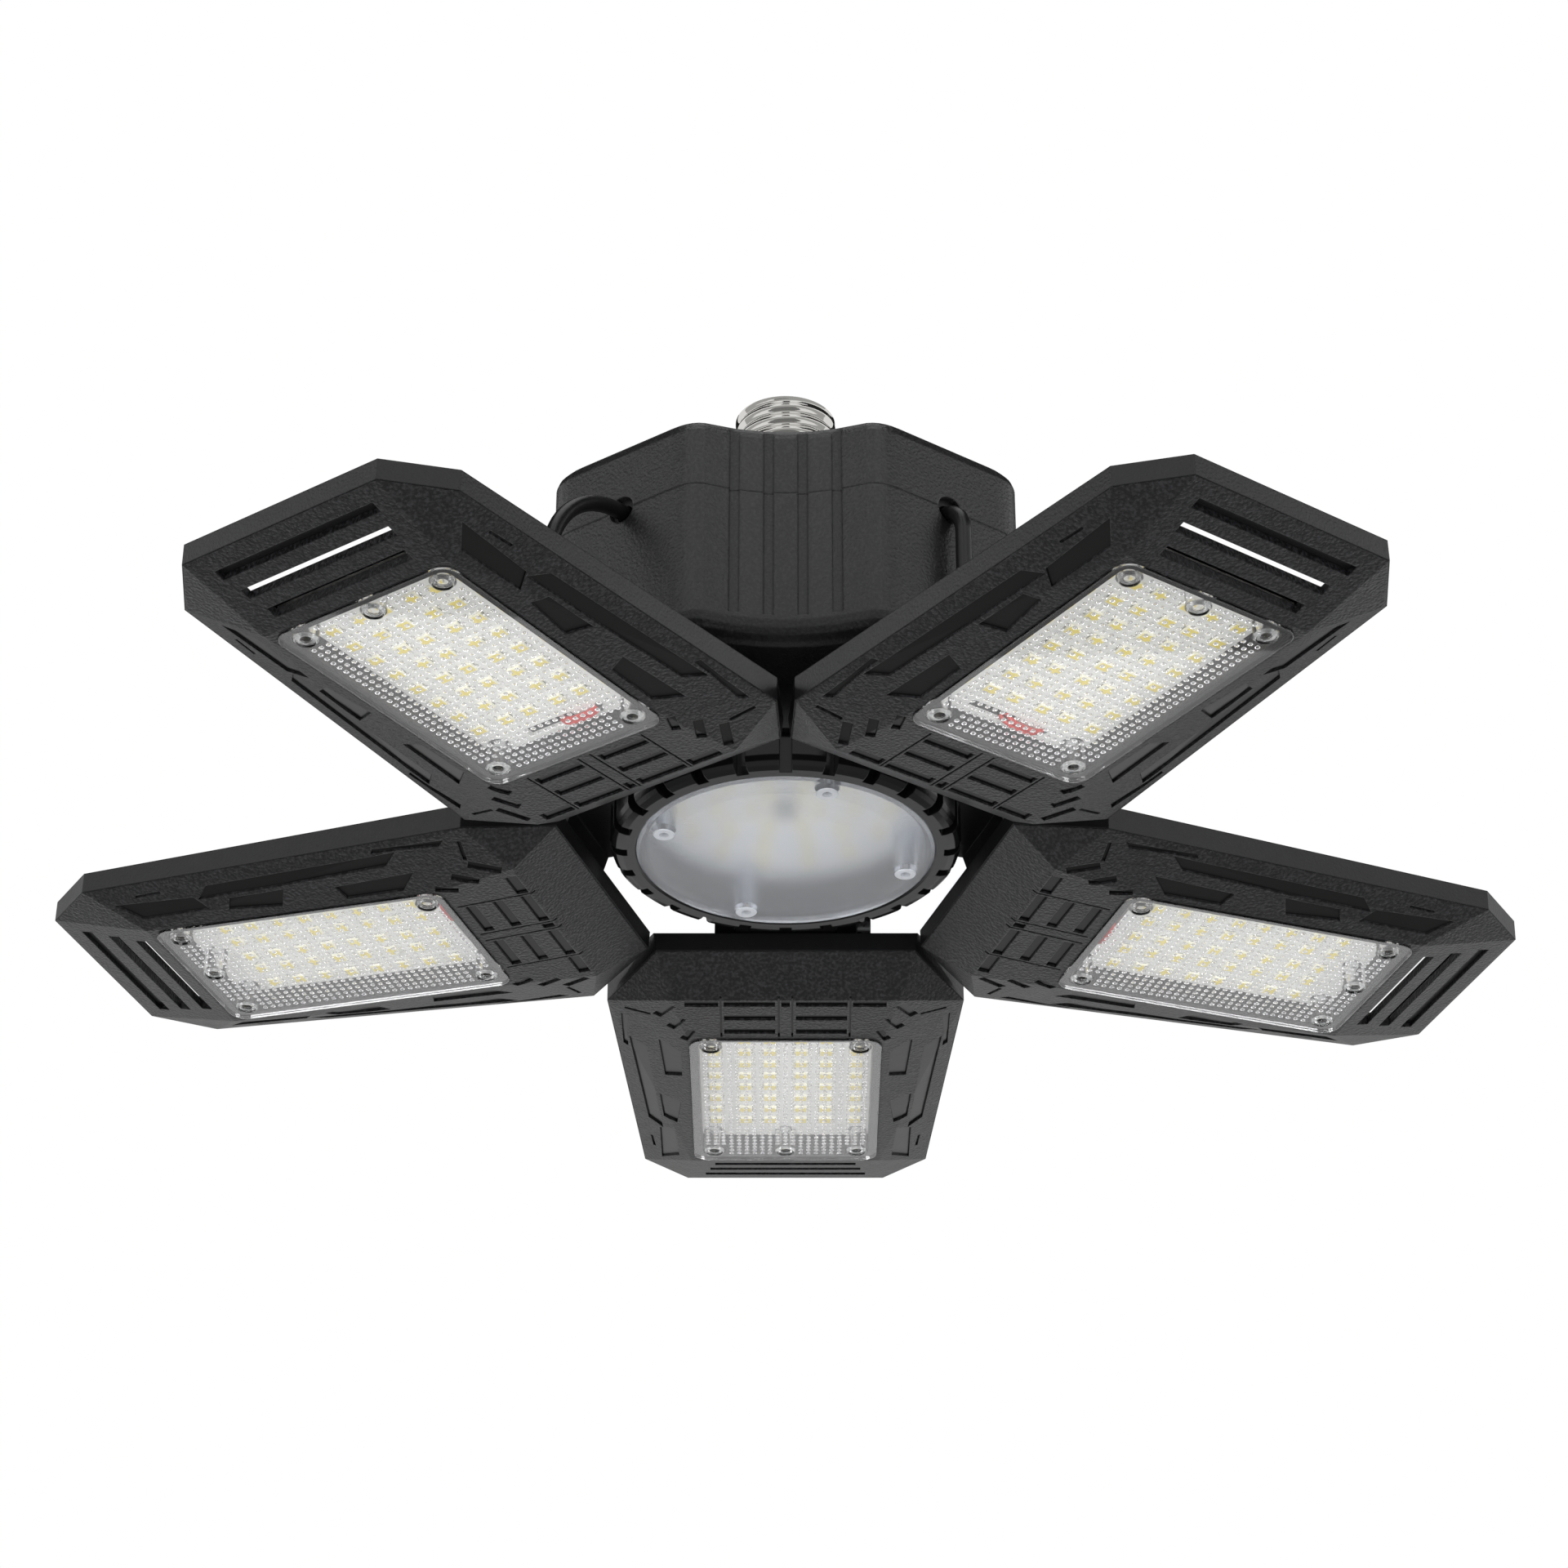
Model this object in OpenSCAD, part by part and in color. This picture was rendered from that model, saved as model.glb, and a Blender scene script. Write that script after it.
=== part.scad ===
// Folding garage light: five hinged LED panels and a centre lamp on an E26 screw base.
// Millimetres. The lamp axis is Z, the screw base points up, and the panels lie
// flat around the centre lamp. Z = 0 of the drawing is the flat back of the
// panels; everything is moved down at the end so that the row's origin is the
// middle of the plain skirt of the screw shell.

/* [Overall] */
// Radius from the lamp axis to the outer end of a panel
reach = 184.4; // [160:0.2:210]
// Width of the outer end edge of a panel
end_width = 55.6; // [40:0.2:70]
// Radius at which the outer corners are cut off
chamfer_at = 171.0; // [150:0.2:180]
// Width of a panel where its outer corners are cut off
outer_width = 79.2; // [70:0.2:88]
// Widest width of a panel, near the centre
root_width = 92.6; // [84:0.2:94]
// Radius of the widest place
root_at = 66.9; // [64:0.1:72]
// Radius of the inner end of a panel
inner_at = 47.4; // [46:0.1:52]
// Width of the inner end of a panel, at its front edge
inner_width = 66.4; // [60:0.2:67]
// Width of the inner end at its back edge
inner_back_width = 67.8; // [60:0.2:68]

/* [Panel] */
// Height of the back cover's rim band at the outer end
rim_h = 5.3; // [3:0.1:8]
// Height of the rim band at the widest place
rim_root_h = 6.3; // [3:0.1:9]
// Rise of the inner end above the flat back
inner_rise = 3.3; // [1:0.1:4]
// Depth of the front plateau under the flat back
face_z = 11.0; // [9:0.1:14]
// Shell thickness
wall = 2.2; // [1.6:0.1:3]
// Lens length
lens_len = 77.5; // [60:0.5:90]
// Lens width
lens_w = 50.6; // [40:0.2:56]
// Radius of the lens corners
lens_corner = 4.2; // [2:0.1:8]
// Radius from the lamp axis to the lens's inner edge
lens_at = 80.6; // [76:0.2:90]
// Width of the three vent slots in the outer facet
vent_w = 3.0; // [2:0.1:4]
// Spacing of the vent slots
vent_pitch = 7.0; // [6:0.1:9]
// Depth of the moulded pattern in the front facets
relief = 0.6; // [0.3:0.1:0.8]

/* [Hinge] */
// Radius of the hinge axis from the lamp axis
hinge_r = 58; // [56:0.5:60]
// Height of the hinge axis above the panel's back
hinge_z = 10; // [9:0.5:11]
// Radius of the hinge barrels
barrel_r = 5; // [4:0.1:5.5]
// Hinge pin radius
pin_r = 2; // [1.5:0.1:2.5]
// Width of the hub's barrel
barrel_w = 26; // [20:0.5:30]
// Width of each ear on the panel
ear_w = 5.0; // [4:0.1:8]
// Thickness of a hinge pin's head
head_h = 3.4; // [2:0.1:4]

/* [Panel rest tilt] */
// How far the right panel's outer end is raised, in degrees
tilt_1 = -1.2; // [-2:0.1:2]
// The same for the far panel
tilt_2 = 1.2; // [-2:0.1:2]
// The same for the left panel
tilt_3 = 1.3; // [-2:0.1:2]
// The same for the near left panel
tilt_4 = 1.0; // [-2:0.1:2]
// The same for the near right panel
tilt_5 = 1.5; // [-2:0.1:2]

/* [Housing] */
// Apothem of the five wide faces of the driver housing
wide_r = 67.8; // [62:0.2:69]
// Half width of the fluted faces
flute_half = 22.4; // [18:0.2:24]
// Distance from the axis to the chord of a fluted face
flute_r = 67.5; // [62:0.2:69]
// How deep a fluted face is hollowed
hollow = 5.6; // [1:0.1:6]
// Length of the corner rounding on a fluted face
corner_in = 4.0; // [2:0.1:6]
// Length of the corner rounding on a wide face
corner_out = 6.5; // [3:0.1:9]
// Height of the rounding of the housing's lower edge
foot = 5.0; // [3:0.1:6]
// Height of the joint between housing and cover
seam_z = 64.5; // [55:0.5:75]
// Height of the cover's flat top
cover_z = 84.8; // [75:0.2:95]
// Height of the housing's underside
belly_z = 23.5; // [20:0.5:26]
// Housing wall thickness
shell = 2.5; // [2:0.1:4]

/* [Centre lamp] */
// Radius of the centre lens
disc_r = 36.7; // [30:0.1:38]
// Outer radius of the ring
ring_r = 43.2; // [38:0.1:44]
// Height of the ring
ring_h = 11; // [8:0.5:13]
// Number of slots round the ring
slots = 24; // [12:1:36]
// Width of a ring slot
slot_w = 3; // [2:0.1:4]

/* [Screw base] */
// Radius of the screw shell
shell_r = 13.1; // [13:0.01:13.2]
// Height of the lower end of the shell
base_z = 109; // [104:0.5:114]
// Length of the plain skirt under the thread
skirt = 5; // [3:0.5:6]
// Pitch of the thread
pitch = 3.63; // [3.5:0.01:3.7]

/* [Leads] */
// Radius of a lead
lead_r = 2.0; // [1.5:0.1:2.5]
// Radius from the lamp axis to where a lead enters its panel
entry_r = 88.2; // [86:0.1:94]

/* [Hidden] */
$fa = 6;
$fs = 0.6;
slip = 0.05;
apart = 0.3;
origin_z = base_z + skirt / 2;
lens_end = lens_at + lens_len;
lens_t = 1.6;
plate_t = 1.2;
board_t = 1.2;
pad_t = 1.1;
board_z = -plate_t - pad_t - board_t;
tilts = [tilt_1, tilt_2, tilt_3, tilt_4, tilt_5];
mouth_x = 59.7;
mouth_y = 29.3;
mouth_z = 9.9;
inner_drop = 1.75;
side_slope = (face_z - rim_h) / (outer_width / 2 - lens_w / 2);
end_slope = (face_z - rim_h) / (reach - lens_end);

// -- placing ----------------------------------------------------------------
module placed() {
  translate([0, 0, -origin_z]) children();
}

module at_row(i) {
  placed() rotate([0, 0, 18 + 72 * (i - 1)]) children();
}

// A panel turns about its hinge, so its own tilt at rest is about the hinge.
module at_panel(i) {
  at_row(i) translate([hinge_r, 0, hinge_z]) rotate([0, -tilts[i - 1], 0])
    translate([-hinge_r, 0, -hinge_z]) children();
}

function tilted(x, z, t) = [
  hinge_r + (x - hinge_r) * cos(t) - (z - hinge_z) * sin(t),
  hinge_z + (x - hinge_r) * sin(t) + (z - hinge_z) * cos(t)
];

// -- panel outline ------------------------------------------------------------
function both(list) = concat(list, [for (p = list) [p[0], -p[1], p[2]]]);

module panel_outer() {
  hull_points(both([
    [reach, end_width / 2, 0], [chamfer_at, outer_width / 2, 0], [root_at, root_width / 2, 0],
    [reach, end_width / 2, -rim_h], [chamfer_at, outer_width / 2, -rim_h],
    [root_at, root_width / 2, -rim_root_h],
    [lens_at - 1, lens_w / 2 + 0.8, -face_z], [lens_end + 1, lens_w / 2 + 0.8, -face_z],
    [mouth_x, mouth_y, -mouth_z]
  ]));
  hull_points(both([
    [inner_at, inner_back_width / 2, inner_rise], [inner_at, inner_width / 2, -inner_drop],
    [root_at, root_width / 2, 0], [root_at, root_width / 2, -rim_root_h],
    [mouth_x, mouth_y, -mouth_z], [lens_at - 1, lens_w / 2 + 0.8, -face_z]
  ]));
}

module panel_inner() {
  t = wall;
  hull_points(both([
    [reach - t, end_width / 2 - 1.2, -plate_t], [chamfer_at - 1, outer_width / 2 - t, -plate_t],
    [root_at + 1.2, root_width / 2 - t - 0.2, -plate_t],
    [reach - t, end_width / 2 - 1.2, -rim_h + 1.5], [chamfer_at - 1, outer_width / 2 - t, -rim_h + 1.2],
    [root_at + 1.2, root_width / 2 - t - 0.2, -rim_root_h + 1.6],
    [lens_at + 1, lens_w / 2 - 0.6, -face_z + 2], [lens_end - 1, lens_w / 2 - 0.6, -face_z + 2],
    [mouth_x + 2.4, mouth_y - 2, -mouth_z + 2.2]
  ]));
  hull_points(both([
    [inner_at + t, inner_width / 2 - 1.8, inner_rise - 1.8],
    [inner_at + t, inner_width / 2 - 1.8, -inner_drop + 1.1],
    [root_at + 1.2, root_width / 2 - t - 0.2, -plate_t],
    [root_at + 1.2, root_width / 2 - t - 0.2, -rim_root_h + 1.6],
    [mouth_x + 2.4, mouth_y - 2, -mouth_z + 2.2]
  ]));
}

module hull_points(points) {
  hull() polyhedron(points = points, faces = [for (i = [1:len(points) - 2]) [0, i, i + 1]]);
}

// Everything above the joint between back cover and front frame.
module above_joint(gap) {
  rotate([90, 0, 0]) linear_extrude(120, center = true)
    polygon([
      [inner_at - 5, 20], [inner_at - 5, -inner_drop + gap + 5 * 0.2333],
      [inner_at, -inner_drop + gap], [root_at, -rim_root_h + gap],
      [chamfer_at, -rim_h + gap], [reach + 5, -rim_h + gap], [reach + 5, 20]
    ]);
}

module below_joint(gap) {
  rotate([90, 0, 0]) linear_extrude(120, center = true)
    polygon([
      [inner_at - 5, -30], [inner_at - 5, -inner_drop - gap + 5 * 0.2333],
      [inner_at, -inner_drop - gap], [root_at, -rim_root_h - gap],
      [chamfer_at, -rim_h - gap], [reach + 5, -rim_h - gap], [reach + 5, -30]
    ]);
}

module rounded_plate(length, width, r, t) {
  translate([-length / 2 + r, -width / 2, 0]) cube([length - 2 * r, width, t]);
  translate([-length / 2, -width / 2 + r, 0]) cube([length, width - 2 * r, t]);
  for (x = [-1, 1], y = [-1, 1])
    translate([x * (length / 2 - r), y * (width / 2 - r), 0]) cylinder(r = r, h = t);
}

// -- moulded pattern of the front facets ----------------------------------------
module stroke(a, b, w) {
  d = [b[0] - a[0], b[1] - a[1]];
  n = [-d[1], d[0]] * w / 2 / norm(d);
  polygon([a + n, a - n, b - n, b + n]);
}

module pattern_half() {
  // Three rows of bars across the inner facet, divided by thin lines.
  for (x = [61.6, 68.9, 76.1]) translate([x - 1.35, 2.7]) square([2.7, 13.3]);
  translate([60.1, 17.4]) square([3, 8.7]);
  translate([60.1, -1.1]) square([3, 2.2]);
  for (y = [1.5, 16.5]) translate([58.7, y]) square([20.4, 0.5]);
  // Chevrons on the corner facet.
  stroke([69.8, 33.5], [62.5, 29.5], 2.4);
  stroke([75.4, 30.2], [69.3, 26.9], 2.4);
  stroke([81.0, 26.7], [75.7, 24.5], 2.2);
  stroke([69.0, 41.8], [69.8, 35.1], 1.0);
  // Channels and hollows along the side facet.
  polygon([[72.5, 42.9], [91.2, 42.9], [92.1, 41.6], [85.6, 41.7], [74.3, 41.0]]);
  polygon([[85.8, 41.2], [137.9, 37.6], [141.6, 33.7], [134.8, 34.2], [120.8, 35.0], [89.9, 36.8]]);
  polygon([[84.0, 33.4], [105.6, 32.2], [103.9, 27.6], [89.0, 27.6]]);
  polygon([[118.4, 34.0], [133.2, 33.3], [135.0, 29.6], [121.0, 28.2]]);
  polygon([[142.6, 34.6], [164.2, 34.6], [158.4, 29.6], [139.6, 30.6], [141.3, 32.9]]);
  stroke([150.6, 37.1], [157.6, 36.5], 0.7);
}

// The room that the pattern takes out of the front facets. It keeps its place
// on a panel that is made longer or wider.
module pattern_room() {
  sx = lens_len / 77.5;
  sy = lens_w / 50.6;
  difference() {
    translate([0, 0, -face_z - 5]) linear_extrude(face_z + 1.5)
      for (s = [-1, 1]) translate([lens_at * (1 - sx), 0]) scale([sx, s * sy]) pattern_half();
    translate([0, 0, relief]) panel_outer();
  }
}

function facet_z(x) = -rim_h - (reach - x) * end_slope;

module frame_body() {
  mid = lens_at + lens_len / 2;
  difference() {
    union() {
      intersection() {
        difference() {
          panel_outer();
          panel_inner();
        }
        below_joint(0.03);
      }
      // Dark well between the lens and the LED board.
      difference() {
        translate([mid, 0, -face_z + 1.9]) 
          rounded_plate(lens_len - 1.6, lens_w - 1.6, 2, face_z - 1.9 + board_z - slip);
        translate([mid, 0, -face_z]) rounded_plate(lens_len - 4.6, lens_w - 4.6, 1.5, 20);
      }
    }
    // Window and lens seat.
    translate([mid, 0, -face_z - 1]) rounded_plate(lens_len - 4.6, lens_w - 4.6, 2.5, 6);
    translate([mid, 0, -face_z - 1])
      rounded_plate(lens_len + 2 * slip, lens_w + 2 * slip, lens_corner, 1 + 1.2 + slip);
    // Vent slots.
    for (i = [0:2]) {
      x = reach - 6.4 - i * vent_pitch;
      long = end_width - 10.4 - 2.9 * i;
      translate([x - vent_w / 2, -long / 2, facet_z(x) - 5]) cube([vent_w, long, 9]);
    }
    pattern_room();
  }
}

module back_body() {
  difference() {
    union() {
      intersection() {
        difference() {
          panel_outer();
          panel_inner();
        }
        above_joint(0.03);
      }
      // Cooling ribs along the back.
      for (k = [-3:3])
        translate([96, k * 10 - 0.7, -0.1]) cube([54, 1.4, 2.6]);
      // Hinge ears.
      for (s = [-1, 1]) ear(s);
      // Seat of the lead's grommet.
      translate([entry_r, 0, -0.5]) cylinder(r = 6, h = 2);
      // Pad that carries the LED board.
      translate([lens_at + lens_len / 2, 0, -plate_t - pad_t])
        rounded_plate(lens_len - 8, lens_w - 8, 3, pad_t + 0.1);
    }
    // Outlet slots of the vents.
    for (x = [reach - 11.5, reach - 20.1])
      translate([x - 2.5, 9.6 - outer_width / 2, -3]) cube([5, outer_width - 19.2, 6]);
    // Hole of the lead.
    translate([entry_r, 0, -4]) cylinder(r = 3.4, h = 10);
    // Pin holes.
    translate([hinge_r, 0, hinge_z]) rotate([90, 0, 0])
      cylinder(r = pin_r + 0.08, h = 60, center = true);
  }
}

module ear(s) {
  y0 = barrel_w / 2 + apart;
  rise = inner_rise / (root_at - inner_at);
  translate([0, s > 0 ? y0 + ear_w : -y0, 0]) rotate([90, 0, 0]) {
    linear_extrude(ear_w) polygon([
      [inner_at + 3.6, (root_at - inner_at - 3.6) * rise - 0.6],
      [hinge_r - barrel_r, hinge_z], [hinge_r + barrel_r, hinge_z],
      [root_at + 1, -0.6], [root_at - 1, -0.4]
    ]);
    translate([hinge_r, hinge_z, 0]) cylinder(r = barrel_r, h = ear_w);
  }
}

module lens_body() {
  mid = lens_at + lens_len / 2;
  difference() {
    union() {
      translate([mid, 0, -face_z - 0.4]) rounded_plate(lens_len, lens_w, lens_corner, lens_t);
      for (p = boss_places()) translate([p[0], p[1], -face_z]) cylinder(r = 2.9, h = face_z + board_z - slip);
    }
    for (p = boss_places()) {
      translate([p[0], p[1], -face_z - 1]) cylinder(r = 1.3, h = 20);
      translate([p[0], p[1], -face_z - 1]) cylinder(r = 2.3, h = 1.2);
    }
  }
}

function boss_places() = [
  [lens_at + 5.4, lens_w / 2 - 5.6], [lens_at + 5.4, -lens_w / 2 + 5.6],
  [lens_end - 5.4, lens_w / 2 - 5.6], [lens_end - 5.4, -lens_w / 2 + 5.6],
  [lens_end - 5.4, 0]
];

module board_body() {
  difference() {
    translate([lens_at + 1.9, -lens_w / 2 + 0.4, board_z]) cube([lens_len - 2.8, lens_w - 0.8, board_t]);
    // Slot that the lead's wires come through.
    translate([lens_at + 3.9, -0.217 * lens_w, board_z - 1]) cube([3.5, 0.277 * lens_w, board_t + 2]);
  }
}

module leds_body() {
  for (i = [0:7], y = [-0.375, -0.2175, -0.0815, 0.0815, 0.2175, 0.375])
    translate([lens_at + lens_len * (0.178 + 0.0935 * i), y * lens_w, board_z - 0.375])
      cube([0.036 * lens_len, 0.067 * lens_w, 0.75], center = true);
}

module entry_body() {
  difference() {
    union() {
      translate([entry_r, 0, 1.5]) cylinder(r = 5.2, h = 2.2);
      translate([entry_r, 0, -0.5]) cylinder(r = 3.35, h = 3);
    }
    translate([entry_r, 0, -4]) cylinder(r = lead_r + apart, h = 12);
  }
}

// -- leads --------------------------------------------------------------------
function arc_path(cx, cz, r, a0, a1, n, turn) =
  [for (k = [1:n]) let (a = a0 + (a1 - a0) * k / n) [cx + r * cos(a), cz + r * sin(a), a + turn]];

// A tube of 12 sides along a path in the panel's middle plane. Each path point
// is a place and the direction of travel there.
module tube(path, r) {
  n = len(path);
  m = 12;
  pts = [for (p = path, k = [0:m - 1]) let (a = k * 360 / m)
    [p[0] - r * cos(a) * sin(p[2]), r * sin(a), p[1] + r * cos(a) * cos(p[2])]];
  sides = [for (i = [0:n - 2], k = [0:m - 1]) let (a = i * m + k, b = i * m + (k + 1) % m)
    each [[a, b, b + m], [a, b + m, a + m]]];
  polyhedron(points = pts, faces = concat(
    [[for (k = [m - 1:-1:0]) k]], sides, [[for (k = [0:m - 1]) (n - 1) * m + k]]
  ));
}

// A lead leaves its hole level, turns down with radius r1, drops to z1 and
// swings across to its entry hole, where it is t degrees from upright.
module lead_body(r1, z1, t) {
  x0 = wide_r - 3.4;
  z0 = seam_z - sag;
  xa = x0 + r1;
  zb = 10.9;
  drop = z1 - zb;
  last = tilted(entry_r, -0.6, t);
  xb = last[0] - (zb - last[1]) * tan(t);
  shift = xb - xa;
  b = 2 * atan(abs(shift) / drop);
  r2 = drop / (2 * sin(b));
  out = shift > 0;
  tube(concat(
    [[x0 - 3, z0, 0], [x0, z0, 0]],
    arc_path(x0, z0 - r1, r1, 90, 0, 10, -90),
    z0 - r1 > z1 + 1 ? [[xa, z1, -90]] : [],
    out ? arc_path(xa + r2, z1, r2, 180, 180 + b, 5, 90) : arc_path(xa - r2, z1, r2, 0, -b, 5, -90),
    out ? arc_path(xb - r2, zb, r2, b, 0, 5, -90) : arc_path(xb + r2, zb, r2, 180 - b, 180, 5, 90),
    [[last[0], last[1], -90]]
  ), lead_r);
}

// -- housing ------------------------------------------------------------------
arc_r = (flute_half * flute_half + hollow * hollow) / (2 * hollow);
arc_c = flute_r - hollow + arc_r;

function corner_at(inset) =
  let (w = wide_r - inset, ra = arc_r + inset, b = arc_c * sin(36),
       c0 = w * w - 2 * w * arc_c * cos(36) + arc_c * arc_c - ra * ra,
       s = -b + sqrt(b * b - c0))
  [w * cos(36) - s * sin(36), w * sin(36) + s * cos(36)];

function hollow_x(y, inset) = arc_c - sqrt(pow(arc_r + inset, 2) - y * y);

// One fifth of the outline, round the fluted face on the +X side.
function lobe(inset) =
  let (c = corner_at(inset), ye = c[1] - corner_in,
       e = [hollow_x(ye, inset), ye],
       f = [c[0] - corner_out * sin(36), c[1] + corner_out * cos(36)],
       side = [for (k = [0:6]) let (t = k / 6) (1 - t) * (1 - t) * e + 2 * t * (1 - t) * c + t * t * f])
  concat(
    [for (k = [6:-1:0]) [side[k][0], -side[k][1]]],
    [for (k = [-2:2]) [hollow_x(ye * k / 3, inset), ye * k / 3]],
    side
  );

function turned(p, a) = [p[0] * cos(a) - p[1] * sin(a), p[0] * sin(a) + p[1] * cos(a)];

function outline(inset) = [for (k = [0:4], p = lobe(inset)) turned(p, 72 * k - 90)];

module prism(inset, z0, z1) {
  translate([0, 0, z0]) linear_extrude(z1 - z0) polygon(outline(inset));
}

// A solid through outlines stacked in z, trimmed flat at z0 and z1. Each level
// is an inset and a height.
module stack(levels, z0, z1) {
  intersection() {
    stacked(levels);
    translate([-wide_r - 20, -wide_r - 20, z0]) cube([2 * wide_r + 40, 2 * wide_r + 40, z1 - z0]);
  }
}

module stacked(levels) {
  n = len(outline(0));
  m = len(levels);
  polyhedron(
    points = [for (v = levels, p = outline(v[0])) [p[0], p[1], v[1]]],
    faces = concat(
      [[for (k = [0:n - 1]) k]],
      [for (i = [0:m - 2], k = [0:n - 1]) let (a = i * n + k, b = i * n + (k + 1) % n)
        each [[a, a + n, b], [b, a + n, b + n]]],
      [[for (k = [n - 1:-1:0]) (m - 1) * n + k]]
    )
  );
}

// Four grooves down each hollowed face.
module flutes(z0, z1) {
  for (k = [0:4], y = [-0.55, -0.183, 0.183, 0.55] * flute_half)
    rotate([0, 0, 72 * k - 90]) translate([hollow_x(y, 0) - 0.6, y - 1.2, z0]) cube([6, 2.4, z1 - z0]);
}

// A lead lies at the lower side of its hole.
sag = 0.5;
hole_r = 3.6;

module lead_holes(r) {
  for (k = [0:4])
    rotate([0, 0, 18 + 72 * k]) translate([wide_r - 6, 0, seam_z]) rotate([0, 90, 0]) cylinder(r = r, h = 12);
}

module housing_body() {
  difference() {
    stack([
      [foot * 1.2, belly_z - 0.5], [foot * 0.6, belly_z + foot * 0.1], [foot * 0.3, belly_z + foot * 0.3],
      [foot * 0.1, belly_z + foot * 0.6], [0, belly_z + foot], [0, seam_z + 3]
    ], belly_z, seam_z - slip);
    flutes(belly_z + foot + 1.2, seam_z + 1);
    prism(shell, belly_z + 10, seam_z + 1);
    translate([0, 0, belly_z + shell]) cylinder(r = 52, h = 10);
    lead_holes(hole_r);
    translate([0, 0, belly_z - 1]) cylinder(r = 9, h = 6);
  }
  // Posts that carry the driver board.
  for (a = [54, 126, 234, 306])
    rotate([0, 0, a]) translate([40, 0, belly_z + shell - 0.5]) cylinder(r = 3.5, h = 7.5);
}

module cover_body() {
  difference() {
    union() {
      stack([
        [0, seam_z - 3], [0, cover_z - 4.5], [0.6, cover_z - 2.6], [1.7, cover_z - 1.2], [5.0, cover_z + 0.5]
      ], seam_z + slip, cover_z);
      rotate_extrude() polygon([
        [0, cover_z - 1], [56, cover_z - 1], [54, cover_z + 0.8], [24, base_z - 12], [21, base_z - 9], [0, base_z - 9]
      ]);
    }
    flutes(seam_z - 1, cover_z + 1);
    prism(shell, seam_z - 1, cover_z - shell);
    rotate_extrude() polygon([
      [0, cover_z - shell - 1], [53, cover_z - shell - 1], [52, cover_z - shell + 1],
      [22, base_z - 14.6], [16, base_z - 12], [0, base_z - 12]
    ]);
    translate([0, 0, base_z - 14]) cylinder(r = 11, h = 10);
    lead_holes(hole_r);
  }
}

module grommets_body() {
  for (k = [0:4])
    rotate([0, 0, 18 + 72 * k]) translate([wide_r - 4.2, 0, seam_z]) rotate([0, 90, 0]) difference() {
      union() {
        cylinder(r = hole_r - slip, h = 2.6);
        cylinder(r = hole_r + 1.2, h = 1.6);
      }
      translate([sag, 0, -1]) cylinder(r = lead_r + apart, h = 8);
    }
}

module driver_board_body() {
  difference() {
    translate([0, 0, belly_z + shell + 7 + slip]) cylinder(r = wide_r - 21.8, h = 1.6);
    translate([0, 0, belly_z]) cylinder(r = 5, h = 30);
  }
}

module transformer_body() {
  z = belly_z + shell + 8.6 + 2 * slip;
  u = wide_r / 67.8;
  translate([-14, -12, 0] * u + [0, 0, z]) cube([22, 24, 20] * u);
  translate([-16, -9, 5] * u + [0, 0, z]) cube([26, 18, 10] * u);
}

module capacitors_body() {
  z = belly_z + shell + 8.6 + 2 * slip;
  u = wide_r / 67.8;
  for (y = [-12, 12]) translate([24 * u, y * u, z]) cylinder(r = 8 * u, h = 22 * u);
  for (y = [-10, 6]) translate([-30 * u, y * u, z]) cylinder(r = 5 * u, h = 14 * u);
}

// -- hub, hinges and centre lamp -----------------------------------------------
module hub_body() {
  difference() {
    union() {
      translate([0, 0, ring_h + slip]) cylinder(r = ring_r - 2, h = belly_z - ring_h - 2 * slip);
      for (i = [0:4]) rotate([0, 0, 18 + 72 * i]) arm();
    }
    translate([0, 0, 0]) cylinder(r = disc_r - 2.2, h = 17);
    translate([0, 0, 10]) cylinder(r = 6, h = 20);
    for (i = [0:4]) rotate([0, 0, 18 + 72 * i])
      translate([hinge_r, 0, hinge_z]) rotate([90, 0, 0]) cylinder(r = pin_r + slip, h = 60, center = true);
  }
}

module arm() {
  translate([0, barrel_w / 2, 0]) rotate([90, 0, 0]) {
    linear_extrude(barrel_w) polygon([
      [ring_r - 5, belly_z - slip], [hinge_r + 2, belly_z - slip], [hinge_r + barrel_r, belly_z - 5],
      [hinge_r + barrel_r, hinge_z], [hinge_r - barrel_r, hinge_z], [hinge_r - barrel_r - 1.5, hinge_z + 4.5],
      [ring_r - 5, hinge_z + 4.5]
    ]);
    translate([hinge_r, hinge_z, 0]) cylinder(r = barrel_r, h = barrel_w);
  }
}

module pins_body() {
  end_y = barrel_w / 2 + apart + ear_w;
  for (i = [0:4]) rotate([0, 0, 18 + 72 * i]) translate([hinge_r, 0, hinge_z]) rotate([90, 0, 0]) {
    translate([0, 0, -end_y]) cylinder(r = pin_r, h = 2 * end_y + 1);
    translate([0, 0, end_y + apart]) cylinder(r = pin_r + 2.5, h = head_h);
  }
}

module ring_body() {
  difference() {
    rotate_extrude() polygon([
      [disc_r + slip, 3.0], [disc_r + slip, 0.4], [disc_r + 0.5, 0], [ring_r - 3.1, 0],
      [ring_r - 1.5, 0.4], [ring_r - 0.5, 1.3], [ring_r, 2.7], [ring_r, ring_h],
      [disc_r - 2.2, ring_h], [disc_r - 2.2, 3.0]
    ]);
    for (k = [0:slots - 1]) rotate([0, 0, k * 360 / slots])
      translate([ring_r - 4.2, -slot_w / 2, -1]) cube([6, slot_w, ring_h + 2]);
  }
}

function disc_bosses() = [for (k = [0:3]) turned([disc_r - 5.4, 0], 18.5 + 90 * k)];

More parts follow.
